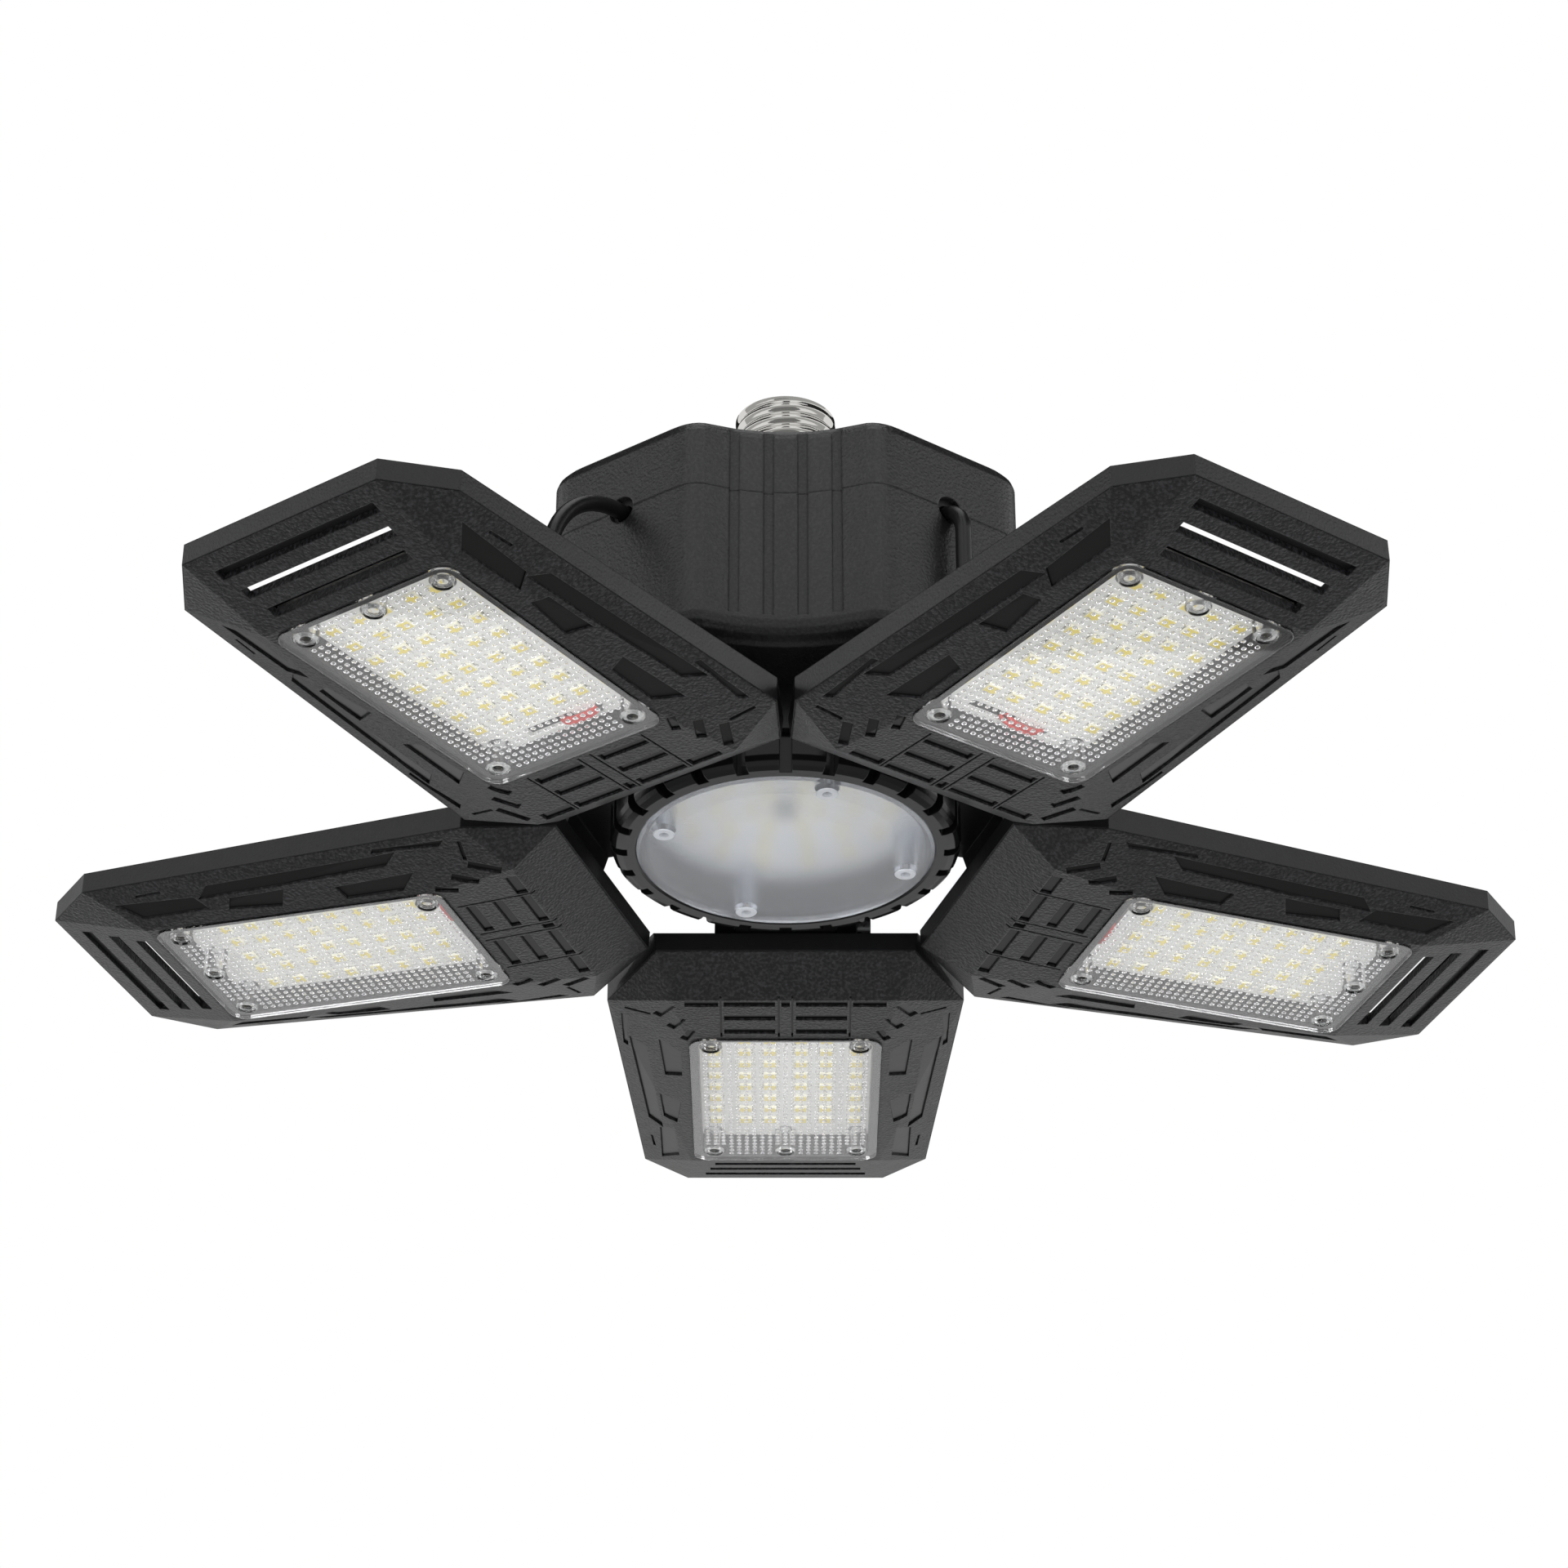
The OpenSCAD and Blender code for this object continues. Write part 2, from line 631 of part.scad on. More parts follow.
module centre_lens_body() {
  difference() {
    union() {
      rotate_extrude() polygon([
        [0, -0.9], [20, -0.8], [30, -0.6], [disc_r - 0.8, -0.3], [disc_r, 0.4], [disc_r, 2.9], [0, 2.9]
      ]);
      for (p = disc_bosses()) translate([p[0], p[1], 2]) cylinder(r = 2.9, h = 15.3 - 2 - slip);
    }
    for (p = disc_bosses()) {
      translate([p[0], p[1], -2]) cylinder(r = 2.2, h = 2.2);
      translate([p[0], p[1], -2]) cylinder(r = 1.2, h = 25);
    }
  }
}

module centre_board_body() {
  translate([0, 0, 15.3]) cylinder(r = disc_r - 2.6, h = 1.7 - slip);
}

module centre_leds_body() {
  for (r = [[0.22, 6], [0.46, 10], [0.695, 14]], k = [0:r[1] - 1])
    rotate([0, 0, k * 360 / r[1]]) translate([r[0] * disc_r, 0, 15.3 - 0.4]) cube([3.5, 2.8, 0.8], center = true);
}

// -- screw base -----------------------------------------------------------------
function crest(k) = [
  [shell_r - 0.75, base_z + skirt + k * pitch + 0.35], [shell_r - 0.2, base_z + skirt + k * pitch + 1.0],
  [shell_r, base_z + skirt + k * pitch + 1.8], [shell_r - 0.2, base_z + skirt + k * pitch + 2.6],
  [shell_r - 0.75, base_z + skirt + k * pitch + 3.3]
];

module shell_body() {
  top = base_z + skirt + 4 * pitch;
  rotate_extrude() polygon(concat(
    [[shell_r - 1.4, base_z], [shell_r, base_z], [shell_r, base_z + skirt]],
    [for (k = [0:3], p = crest(k)) p],
    [[shell_r - 1.1, top + 0.9], [shell_r - 3.2, top + 1.9], [shell_r - 5.2, top + 1.9],
     [shell_r - 5.2, top + 1.5], [shell_r - 3.4, top + 1.5], [shell_r - 1.4, top + 0.4]]
  ));
}

module insulator_body() {
  top = base_z + skirt + 4 * pitch;
  rotate_extrude() polygon([
    [0, top - 3], [shell_r - 1.5, top - 3], [shell_r - 1.5, top + 0.3], [shell_r - 3.5, top + 1.4],
    [shell_r - 5.25, top + 1.4], [shell_r - 5.25, top + 2.2], [shell_r - 6.6, top + 3.6], [5.2, top + 4.6],
    [4.75, top + 4.6], [4.75, top + 4.2], [0, top + 4.2]
  ]);
}

module contact_body() {
  top = base_z + skirt + 4 * pitch;
  rotate_extrude() polygon([
    [0, top + 4.25], [4.7, top + 4.25], [4.6, top + 5.4], [3.2, top + 6.4], [0, top + 6.9]
  ]);
}

module collar_body() {
  difference() {
    rotate_extrude() polygon([
      [0, base_z - 9 + slip], [19.6, base_z - 9 + slip], [18.6, base_z - 4], [15.2, base_z - slip],
      [shell_r - 1.5, base_z - slip], [shell_r - 1.5, base_z + 5], [0, base_z + 5]
    ]);
    translate([0, 0, base_z - 10]) cylinder(r = 9, h = 20);
  }
}

// -- nodes ------------------------------------------------------------------------
module screw_shell() color("#c9c7c0") placed() shell_body();
module centre_contact() color("#b9b7b0") placed() contact_body();
module base_insulator() color("#e9e9e4") placed() insulator_body();
module base_collar() color("#1c1c1d") placed() collar_body();
module upper_cover() color("#242425") placed() cover_body();
module driver_housing() color("#202021") placed() housing_body();
module driver_board() color("#2c5a3a") placed() driver_board_body();
module transformer() color("#c6a63c") placed() transformer_body();
module capacitors() color("#30343c") placed() capacitors_body();
module hub() color("#1b1b1c") placed() hub_body();
module hinge_pins() color("#9a9a9c") placed() pins_body();
module cable_grommets() color("#151515") placed() grommets_body();
module ring() color("#1a1a1b") placed() ring_body();
module centre_board() color("#f0f0ee") placed() centre_board_body();
module centre_leds() color("#f2e6a8") placed() centre_leds_body();
module centre_lens() color("#e8ecef", 0.7) placed() centre_lens_body();
module frame_of(i) color("#1c1c1d") at_panel(i) frame_body();
module back_of(i) color("#2a2a2b") at_panel(i) back_body();
module lens_of(i) color("#dfe6ea", 0.5) at_panel(i) lens_body();
module board_of(i) color("#efefec") at_panel(i) board_body();
module leds_of(i) color("#f0e29a") at_panel(i) leds_body();
module entry_of(i) color("#161616") at_panel(i) entry_body();
module lead_of(i, bend) color("#101010") at_row(i)
  lead_body(bend * wide_r, min(seam_z - sag - bend * wide_r, 0.68 * seam_z), tilts[i - 1]);
module panel_frame_1() frame_of(1);
module panel_back_1() back_of(1);
module panel_lens_1() lens_of(1);
module led_board_1() board_of(1);
module panel_leds_1() leds_of(1);
module entry_grommet_1() entry_of(1);
module lead_1() lead_of(1, 0.28);
module panel_frame_2() frame_of(2);
module panel_back_2() back_of(2);
module panel_lens_2() lens_of(2);
module led_board_2() board_of(2);
module panel_leds_2() leds_of(2);
module entry_grommet_2() entry_of(2);
module lead_2() lead_of(2, 0.28);
module panel_frame_3() frame_of(3);
module panel_back_3() back_of(3);
module panel_lens_3() lens_of(3);
module led_board_3() board_of(3);
module panel_leds_3() leds_of(3);
module entry_grommet_3() entry_of(3);
module lead_3() lead_of(3, 0.36);
module panel_frame_4() frame_of(4);
module panel_back_4() back_of(4);
module panel_lens_4() lens_of(4);
module led_board_4() board_of(4);
module panel_leds_4() leds_of(4);
module entry_grommet_4() entry_of(4);
module lead_4() lead_of(4, 0.45);
module panel_frame_5() frame_of(5);
module panel_back_5() back_of(5);
module panel_lens_5() lens_of(5);
module led_board_5() board_of(5);
module panel_leds_5() leds_of(5);
module entry_grommet_5() entry_of(5);
module lead_5() lead_of(5, 0.122);

screw_shell();
centre_contact();
base_insulator();
base_collar();
upper_cover();
driver_housing();
driver_board();
transformer();
capacitors();
hub();
hinge_pins();
cable_grommets();
ring();
centre_board();
centre_leds();
centre_lens();
panel_frame_1();
panel_back_1();
panel_lens_1();
led_board_1();
panel_leds_1();
entry_grommet_1();
lead_1();
panel_frame_2();
panel_back_2();
panel_lens_2();
led_board_2();
panel_leds_2();
entry_grommet_2();
lead_2();
panel_frame_3();
panel_back_3();
panel_lens_3();
led_board_3();
panel_leds_3();
entry_grommet_3();
lead_3();
panel_frame_4();
panel_back_4();
panel_lens_4();
led_board_4();
panel_leds_4();
entry_grommet_4();
lead_4();
panel_frame_5();
panel_back_5();
panel_lens_5();
led_board_5();
panel_leds_5();
entry_grommet_5();
lead_5();
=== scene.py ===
import bpy
import bmesh
import math
from mathutils import Matrix, Vector


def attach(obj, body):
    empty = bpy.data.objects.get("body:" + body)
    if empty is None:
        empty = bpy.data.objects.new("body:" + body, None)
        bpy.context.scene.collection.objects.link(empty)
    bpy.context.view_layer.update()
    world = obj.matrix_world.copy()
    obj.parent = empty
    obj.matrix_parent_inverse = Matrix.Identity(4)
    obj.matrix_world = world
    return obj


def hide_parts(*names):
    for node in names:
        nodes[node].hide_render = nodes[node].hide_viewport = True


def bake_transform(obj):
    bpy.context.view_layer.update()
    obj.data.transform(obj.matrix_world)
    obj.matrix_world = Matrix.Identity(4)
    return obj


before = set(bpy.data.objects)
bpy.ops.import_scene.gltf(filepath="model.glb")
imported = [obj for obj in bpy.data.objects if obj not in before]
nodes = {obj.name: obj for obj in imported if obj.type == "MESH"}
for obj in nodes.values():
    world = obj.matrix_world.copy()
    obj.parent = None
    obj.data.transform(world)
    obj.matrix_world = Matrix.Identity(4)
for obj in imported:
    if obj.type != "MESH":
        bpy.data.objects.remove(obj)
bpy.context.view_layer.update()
scene = bpy.context.scene

# Everything is drawn in the lamp's own axes and moved down to the row frame,
# whose origin is the middle of the screw shell's plain skirt.
lampRow = {"originZ": 0.1115, "panels": 5, "firstAngle": 18, "stepAngle": 72}
panelNumbers = range(1, lampRow["panels"] + 1)
lampSpace = Matrix.Translation((0, 0, -lampRow["originZ"]))

# each panel's own tilt about its hinge at rest, in degrees, as in the CAD
hinge = {"x": 0.058, "z": 0.010, "tilts": (-1.2, 1.2, 1.3, 1.0, 1.5)}


def rowSpace(index):
    angle = math.radians(lampRow["firstAngle"] + lampRow["stepAngle"] * (index - 1))
    return lampSpace @ Matrix.Rotation(angle, 4, "Z")


def panelSpace(index):
    pivot = Vector((hinge["x"], 0, hinge["z"]))
    tilt = Matrix.Rotation(-math.radians(hinge["tilts"][index - 1]), 4, "Y")
    return rowSpace(index) @ Matrix.Translation(pivot) @ tilt @ Matrix.Translation(-pivot)


# the photograph's viewing angle: from below, looking up at the lamp
cameraLook = {"place": (-0.0004, -0.8595, -0.5943), "pitch": 30.308, "lens": 92.01, "sensor": 36}
cameraData = bpy.data.cameras.new("camera")
cameraData.lens = cameraLook["lens"]
cameraData.sensor_width = cameraLook["sensor"]
camera = bpy.data.objects.new("camera", cameraData)
camera.location = cameraLook["place"]
camera.rotation_euler = (math.radians(90 + cameraLook["pitch"]), 0, 0)
scene.collection.objects.link(camera)
scene.camera = camera
scene.view_settings.view_transform = "Standard"


def meshObject(name, mesh, materials=()):
    data = bpy.data.meshes.new(name)
    mesh.to_mesh(data)
    mesh.free()
    for material in materials:
        data.materials.append(material)
    made = bpy.data.objects.new(name, data)
    scene.collection.objects.link(made)
    return made


def sweepTube(mesh, points, radius, sides, side):
    # a disc that stands across the path is extruded from point to point
    last = cap = None
    for k, point in enumerate(points):
        ahead = points[min(k + 1, len(points) - 1)] - points[max(k - 1, 0)]
        up = side.cross(ahead).normalized()
        place = Matrix.Translation(point) @ Matrix((-up, side, side.cross(up))).transposed().to_4x4()
        if cap is None:
            disc = bmesh.ops.create_circle(mesh, cap_ends=True, segments=sides, radius=radius, matrix=place)
            cap = disc["verts"][0].link_faces[0]
        else:
            made = bmesh.ops.extrude_face_region(mesh, geom=[cap])["geom"]
            if k > 1:  # the disc that is left behind closes only the tube's start
                bmesh.ops.delete(mesh, geom=[cap], context="FACES_ONLY")
            cap = next(item for item in made if isinstance(item, bmesh.types.BMFace))
            bmesh.ops.transform(mesh, matrix=place @ last.inverted(), verts=cap.verts)
        last = place


# The five leads follow the same route as their solids: level out of the seam,
# down on a bend, and across to the panel's entry hole.
leadSizes = {
    "radius": 0.002, "sides": 16,
    "wide": 0.0678, "inside": 0.0034, "hidden": 0.003,  # housing wall, start within it, part hidden in it
    "seam": 0.0645, "sag": 0.0005,                      # height of the seam, and the lead's drop in its hole
    "entry": 0.0882, "end": -0.0006, "low": 0.0109,     # entry hole, lead's end in it, end of the swing
    "turnShare": 0.68, "straight": 0.001,               # height where the swing starts, shortest straight
    "bends": (0.28, 0.28, 0.36, 0.45, 0.122),           # first bend of each lead, as a share of wide
    "bendSteps": 16, "swingSteps": 7, "blendFrom": 4,
}


def tilted(x, z, degrees):
    cosine, sine = math.cos(math.radians(degrees)), math.sin(math.radians(degrees))
    dx, dz = x - hinge["x"], z - hinge["z"]
    return hinge["x"] + dx * cosine - dz * sine, hinge["z"] + dx * sine + dz * cosine


def arc(centreX, centreZ, radius, first, last, count):
    turns = [first + (last - first) * k / count for k in range(1, count + 1)]
    return [(centreX + radius * math.cos(a), centreZ + radius * math.sin(a)) for a in turns]


def leadPath(index):
    sizes = leadSizes
    bend = sizes["bends"][index - 1] * sizes["wide"]
    startX, startZ = sizes["wide"] - sizes["inside"], sizes["seam"] - sizes["sag"]
    dropX = startX + bend
    turnZ = min(startZ - bend, sizes["turnShare"] * sizes["seam"])
    tilt = hinge["tilts"][index - 1]
    lastX, lastZ = tilted(sizes["entry"], sizes["end"], tilt)
    entryX = lastX - (sizes["low"] - lastZ) * math.tan(math.radians(tilt))
    drop, shift = turnZ - sizes["low"], entryX - dropX
    turn = 2 * math.atan(abs(shift) / drop)
    swing = drop / (2 * math.sin(turn))
    points = [(startX - sizes["hidden"], startZ), (startX, startZ)]
    points += arc(startX, startZ - bend, bend, math.pi / 2, 0, sizes["bendSteps"])
    if startZ - bend > turnZ + sizes["straight"]:
        points.append((dropX, turnZ))
    if shift > 0:
        points += arc(dropX + swing, turnZ, swing, math.pi, math.pi + turn, sizes["swingSteps"])
        points += arc(entryX - swing, sizes["low"], swing, turn, 0, sizes["swingSteps"])
    else:
        points += arc(dropX - swing, turnZ, swing, 0, -turn, sizes["swingSteps"])
        points += arc(entryX + swing, sizes["low"], swing, math.pi - turn, math.pi, sizes["swingSteps"])
    points.append((lastX, lastZ))
    return [rowSpace(index) @ Vector((x, 0, z)) for x, z in points]


def leadPiece(index):
    points = leadPath(index)
    side = (rowSpace(index).to_3x3() @ Vector((0, 1, 0))).normalized()
    mesh = bmesh.new()
    sweepTube(mesh, points, leadSizes["radius"], leadSizes["sides"], side)
    bmesh.ops.recalc_face_normals(mesh, faces=mesh.faces)
    piece = meshObject(f"panel_cable_{index}", mesh)
    piece.data.shade_smooth()
    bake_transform(piece)
    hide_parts(f"lead_{index}")
    return piece


leadPieces = [leadPiece(index) for index in panelNumbers]
print("stage: camera and leads")


def linear(hexColour):
    values = [int(hexColour[k:k + 2], 16) / 255 for k in (1, 3, 5)]
    return [v / 12.92 if v <= 0.04045 else ((v + 0.055) / 1.055) ** 2.4 for v in values] + [1]


def addNode(tree, kind, place, inputs=None, **settings):
    node = tree.nodes.new(kind)
    node.location = (place[0] * 200, place[1] * 200)
    for key, value in settings.items():
        setattr(node, key, value)
    for key, value in (inputs or {}).items():
        if isinstance(value, bpy.types.NodeSocket):
            tree.links.new(value, node.inputs[key])
        else:
            node.inputs[key].default_value = value
    return node


def newMaterial(name, base, roughness, **constants):
    material = bpy.data.materials.new(name)
    material.use_nodes = True
    tree = material.node_tree
    shader = tree.nodes["Principled BSDF"]
    shader.inputs["Base Color"].default_value = linear(base)
    shader.inputs["Roughness"].default_value = roughness
    for key, value in constants.items():
        shader.inputs[key.replace("_", " ")].default_value = value
    return material, tree, shader


def feed(tree, shader, sockets):
    for name, socket in sockets.items():
        tree.links.new(socket, shader.inputs[name])


def cells(millimetres):
    # scale of a pattern on Object coordinates whose features are this far apart
    return 1000 / millimetres


# what all the black mouldings share: sizes in millimetres of the slow change of tone and of
# the patches in the gloss, and the part of the grain's range that is painted as glints
mouldedLook = {"tone": 26.3, "patch": 4.17, "glintFrom": 0.44, "glintTo": 0.66, "detail": 3.0}


def plastic(name, dark, light, roughness, spread, grain, depth, edge=0.00035, paintedGlints=False, **constants):
    # the Bevel node rounds the moulded edges, so that they catch a thin light
    material, tree, shader = newMaterial(name, dark, roughness, **constants)
    place = addNode(tree, "ShaderNodeTexCoord", (-8, 0)).outputs["Object"]
    detail = mouldedLook["detail"]
    rounded = addNode(tree, "ShaderNodeBevel", (-4, -3), {"Radius": edge}, samples=4)
    grainNoise = addNode(
        tree, "ShaderNodeTexNoise", (-6, -2), {"Vector": place, "Scale": cells(grain), "Detail": detail},
    )
    # painted glints: the upper part of the grain's range makes single grains lighter in the base colour
    if paintedGlints:
        share = addNode(
            tree, "ShaderNodeMapRange", (-4, 3),
            {"Value": grainNoise.outputs["Fac"], "From Min": mouldedLook["glintFrom"],
             "From Max": mouldedLook["glintTo"]},
        ).outputs["Result"]
    else:
        share = addNode(
            tree, "ShaderNodeTexNoise", (-6, 2),
            {"Vector": place, "Scale": cells(mouldedLook["tone"]), "Detail": detail},
        ).outputs["Fac"]
    tone = addNode(
        tree, "ShaderNodeMix", (-2, 3), {"Factor": share, "A": linear(dark), "B": linear(light)},
        data_type="RGBA",
    )
    patches = addNode(
        tree, "ShaderNodeTexNoise", (-6, 0),
        {"Vector": place, "Scale": cells(mouldedLook["patch"]), "Detail": detail},
    )
    gloss = addNode(
        tree, "ShaderNodeMapRange", (-3, 0),
        {"Value": patches.outputs["Fac"], "To Min": roughness - spread, "To Max": roughness + spread},
    )
    bump = addNode(
        tree, "ShaderNodeBump", (-2, -2),
        {"Height": grainNoise.outputs["Fac"], "Strength": 1.0, "Distance": depth,
         "Normal": rounded.outputs["Normal"]},
    )
    feed(tree, shader, {
        "Base Color": tone.outputs["Result"], "Roughness": gloss.outputs["Result"],
        "Normal": bump.outputs["Normal"],
    })
    return material


# Grain sizes are in millimetres. Real spark-eroded grain is some 0.1 mm wide, which is too
# fine to show here, so each is drawn several times coarser.
looks = {
    # moulded ABS with spark-eroded grain: a dull black in which single grains are painted lighter, as painted
    # glints
    "frame": plastic(
        "grained_black_abs", "#070708", "#222224", roughness=0.37, spread=0.05, grain=0.8, depth=0.0003,
        paintedGlints=True, Specular_IOR_Level=0.44,
    ),
    # painted shade on the floors of the moulded pattern and the lens seat: near-black smooth ABS without the
    # grain, so the shallow grooves look deep
    "recessShade": plastic(
        "near_black_abs_painted_shade", "#040404", "#060607", roughness=0.24, spread=0.03, grain=1.11, depth=0.00001,
        Specular_IOR_Level=0.2,
    ),
    # the hollows along the sides: painted shade, darker than the grain round them, and ABS a little smoother
    "hollow": plastic(
        "smooth_black_abs_painted_shade", "#060606", "#090909", roughness=0.3, spread=0.03, grain=1.11, depth=0.00002,
        Specular_IOR_Level=0.36,
    ),
    # back covers in plain moulded ABS: an even satin
    "back": plastic(
        "satin_black_abs", "#0c0c0d", "#101011", roughness=0.31, spread=0.04, grain=0.667, depth=0.00008,
    ),
    # driver housing in moulded polycarbonate: greyer satin, soft wide edges and a faint grain with painted
    # glints in it
    "housing": plastic(
        "satin_black_polycarbonate", "#19191a", "#272728", roughness=0.33, spread=0.04, grain=0.741,
        depth=0.00014, edge=0.0008, paintedGlints=True, Specular_IOR_Level=0.6,
    ),
    # ring round the centre lens in polished ABS: near gloss, with clear reflections
    "ring": plastic(
        "gloss_black_abs", "#070708", "#0a0a0b", roughness=0.18, spread=0.03, grain=1.11, depth=0.00002,
        Specular_IOR_Level=0.3,
    ),
    # hub and arms in glass-filled nylon: a plain dull satin
    "hub": plastic(
        "satin_black_nylon", "#0c0c0d", "#101011", roughness=0.36, spread=0.04, grain=0.588, depth=0.00004,
    ),
    # grommets in moulded rubber: matt, with no clear highlight
    "rubber": plastic(
        "moulded_black_rubber", "#0b0b0b", "#0f0f0f", roughness=0.55, spread=0.06, grain=0.833, depth=0.00005,
    ),
    # extruded PVC jacket of a lead: smooth, with a long soft highlight
    "lead": plastic(
        "extruded_black_pvc", "#0c0c0d", "#111112", roughness=0.33, spread=0.04, grain=1.25, depth=0.00002,
    ),
}

# slow change of tone in millimetres, the range of the gloss, and the scratches' relief
metalLook = {"tone": 16.7, "smooth": 0.6, "rough": 1.5, "strength": 0.08, "depth": 0.0001}


def metal(name, base, worn, roughness, grain, stretch=(1, 1, 1)):
    material, tree, shader = newMaterial(name, base, roughness, Metallic=1.0)
    place = addNode(tree, "ShaderNodeTexCoord", (-8, 0)).outputs["Object"]
    drawn = addNode(tree, "ShaderNodeMapping", (-7, 0), {"Vector": place, "Scale": stretch})
    broad = addNode(
        tree, "ShaderNodeTexNoise", (-6, 2),
        {"Vector": place, "Scale": cells(metalLook["tone"]), "Detail": 3.0},
    )
    tone = addNode(
        tree, "ShaderNodeMix", (-2, 3),
        {"Factor": broad.outputs["Fac"], "A": linear(base), "B": linear(worn)}, data_type="RGBA",
    )
    fine = addNode(
        tree, "ShaderNodeTexNoise", (-6, 0),
        {"Vector": drawn.outputs["Vector"], "Scale": cells(grain), "Detail": 4.0},
    )
    gloss = addNode(
        tree, "ShaderNodeMapRange", (-3, 0),
        {"Value": fine.outputs["Fac"], "To Min": roughness * metalLook["smooth"],
         "To Max": roughness * metalLook["rough"]},
    )
    bump = addNode(
        tree, "ShaderNodeBump", (-2, -2),
        {"Height": fine.outputs["Fac"], "Strength": metalLook["strength"], "Distance": metalLook["depth"]},
    )
    feed(tree, shader, {
        "Base Color": tone.outputs["Result"], "Roughness": gloss.outputs["Result"],
        "Normal": bump.outputs["Normal"],
    })
    return material


# rolled brass with bright nickel plate: mirror-like, with the faint lines of the rolling
looks["nickel"] = metal("nickel_plated_brass", "#d9d8d5", "#cccbc7", 0.055, 2.38, (1, 1, 6))
# tinned contact: a soft grey shine
looks["contact"] = metal("tinned_brass", "#cfccc5", "#a8a59f", 0.3, 1.11)
# pins and screws in zinc-plated steel: cool grey, a little dull
looks["steel"] = metal("zinc_plated_steel", "#b9bbbd", "#9c9ea0", 0.28, 1.43)
# soft solder, cooled in a bead: grey with a blurred shine
looks["solder"] = metal("soft_solder", "#c9c9c6", "#adadab", 0.3, 0.909)


def letLightIn(tree, shader, tint):
    # Shadow and diffuse rays pass straight through, because a refracting solid
    # would hold back the light that falls on what is behind it.
    rays = addNode(tree, "ShaderNodeLightPath", (0, 4))
    passing = addNode(
        tree, "ShaderNodeMath", (1, 4),
        {0: rays.outputs["Is Shadow Ray"], 1: rays.outputs["Is Diffuse Ray"]}, operation="MAXIMUM",
    )
    plain = addNode(tree, "ShaderNodeBsdfTransparent", (1, 2), {"Color": linear(tint)})
    mix = addNode(
        tree, "ShaderNodeMixShader", (2, 2),
        {0: passing.outputs[0], 1: shader.outputs[0], 2: plain.outputs[0]},
    )
    tree.links.new(mix.outputs[0], tree.nodes["Material Output"].inputs["Surface"])


lensLook = {"ior": 1.49, "smooth": 0.5, "rough": 1.5, "edge": 0.0005}


def clearPlastic(name, tint, roughness, frost, seeThrough):
    material, tree, shader = newMaterial(
        name, tint, roughness, Transmission_Weight=1.0, IOR=lensLook["ior"],
    )
    place = addNode(tree, "ShaderNodeTexCoord", (-8, 0)).outputs["Object"]
    haze = addNode(
        tree, "ShaderNodeTexNoise", (-6, 0), {"Vector": place, "Scale": cells(frost), "Detail": 2.0},
    )
    gloss = addNode(
        tree, "ShaderNodeMapRange", (-3, 0),
        {"Value": haze.outputs["Fac"], "To Min": roughness * lensLook["smooth"],
         "To Max": roughness * lensLook["rough"]},
    )
    rounded = addNode(tree, "ShaderNodeBevel", (-3, -3), {"Radius": lensLook["edge"]}, samples=4)
    feed(tree, shader, {"Roughness": gloss.outputs["Result"], "Normal": rounded.outputs["Normal"]})
    letLightIn(tree, shader, seeThrough)
    return material


# injection-moulded polycarbonate: water-clear, so the board and the diodes show through it
looks["lens"] = clearPlastic("clear_polycarbonate", "#fdfdfe", 0.01, 3.33, "#f4f5f6")
# the same with a finely blasted flank: each bump shows as a pale dot
looks["bump"] = clearPlastic("blasted_polycarbonate", "#fdfdfe", 0.06, 1.11, "#fafafb")

frostedLook = {
    "roughness": 0.22, "seeThrough": 0.965, "pearl": 0.385, "cloud": 11.1,  # pearl and cloud in millimetres
    "edge": 0.0004, "strength": 0.3, "depth": 0.0001,
}


def frostedPlastic(name, base, cool, warm, tint):
    material, tree, shader = newMaterial(
        name, base, frostedLook["roughness"], Transmission_Weight=frostedLook["seeThrough"],
        IOR=lensLook["ior"],
    )
    place = addNode(tree, "ShaderNodeTexCoord", (-8, 0)).outputs["Object"]
    pearl = addNode(
        tree, "ShaderNodeTexNoise", (-6, -2),
        {"Vector": place, "Scale": cells(frostedLook["pearl"]), "Detail": 2.0},
    )
    rounded = addNode(tree, "ShaderNodeBevel", (-4, -3), {"Radius": frostedLook["edge"]}, samples=4)
    bump = addNode(
        tree, "ShaderNodeBump", (-2, -2),
        {"Height": pearl.outputs["Fac"], "Strength": frostedLook["strength"],
         "Distance": frostedLook["depth"], "Normal": rounded.outputs["Normal"]},
    )
    cloud = addNode(
        tree, "ShaderNodeTexNoise", (-6, 2),
        {"Vector": place, "Scale": cells(frostedLook["cloud"]), "Detail": 2.0},
    )
    tone = addNode(
        tree, "ShaderNodeMix", (-2, 3),
        {"Factor": cloud.outputs["Fac"], "A": linear(cool), "B": linear(warm)}, data_type="RGBA",
    )
    feed(tree, shader, {"Base Color": tone.outputs["Result"], "Normal": bump.outputs["Normal"]})
    letLightIn(tree, shader, tint)
    return material


# frosted polycarbonate: the white board and the dark wall behind it show through as a blur
looks["disc"] = frostedPlastic("frosted_polycarbonate", "#f1f5fc", "#eaf0fb", "#f6f8fb", "#f6f7fa")


def softMaterial(name, first, second, roughness, grain, strength, depth=0.00008, **constants):
    material, tree, shader = newMaterial(name, first, roughness, **constants)
    place = addNode(tree, "ShaderNodeTexCoord", (-8, 0)).outputs["Object"]
    fine = addNode(
        tree, "ShaderNodeTexNoise", (-6, 2), {"Vector": place, "Scale": cells(grain), "Detail": 3.0},
    )
    tone = addNode(
        tree, "ShaderNodeMix", (-2, 3),
        {"Factor": fine.outputs["Fac"], "A": linear(first), "B": linear(second)}, data_type="RGBA",
    )
    bump = addNode(
        tree, "ShaderNodeBump", (-2, -2),
        {"Height": fine.outputs["Fac"], "Strength": strength, "Distance": depth},
    )
    feed(tree, shader, {"Base Color": tone.outputs["Result"], "Normal": bump.outputs["Normal"]})
    return material


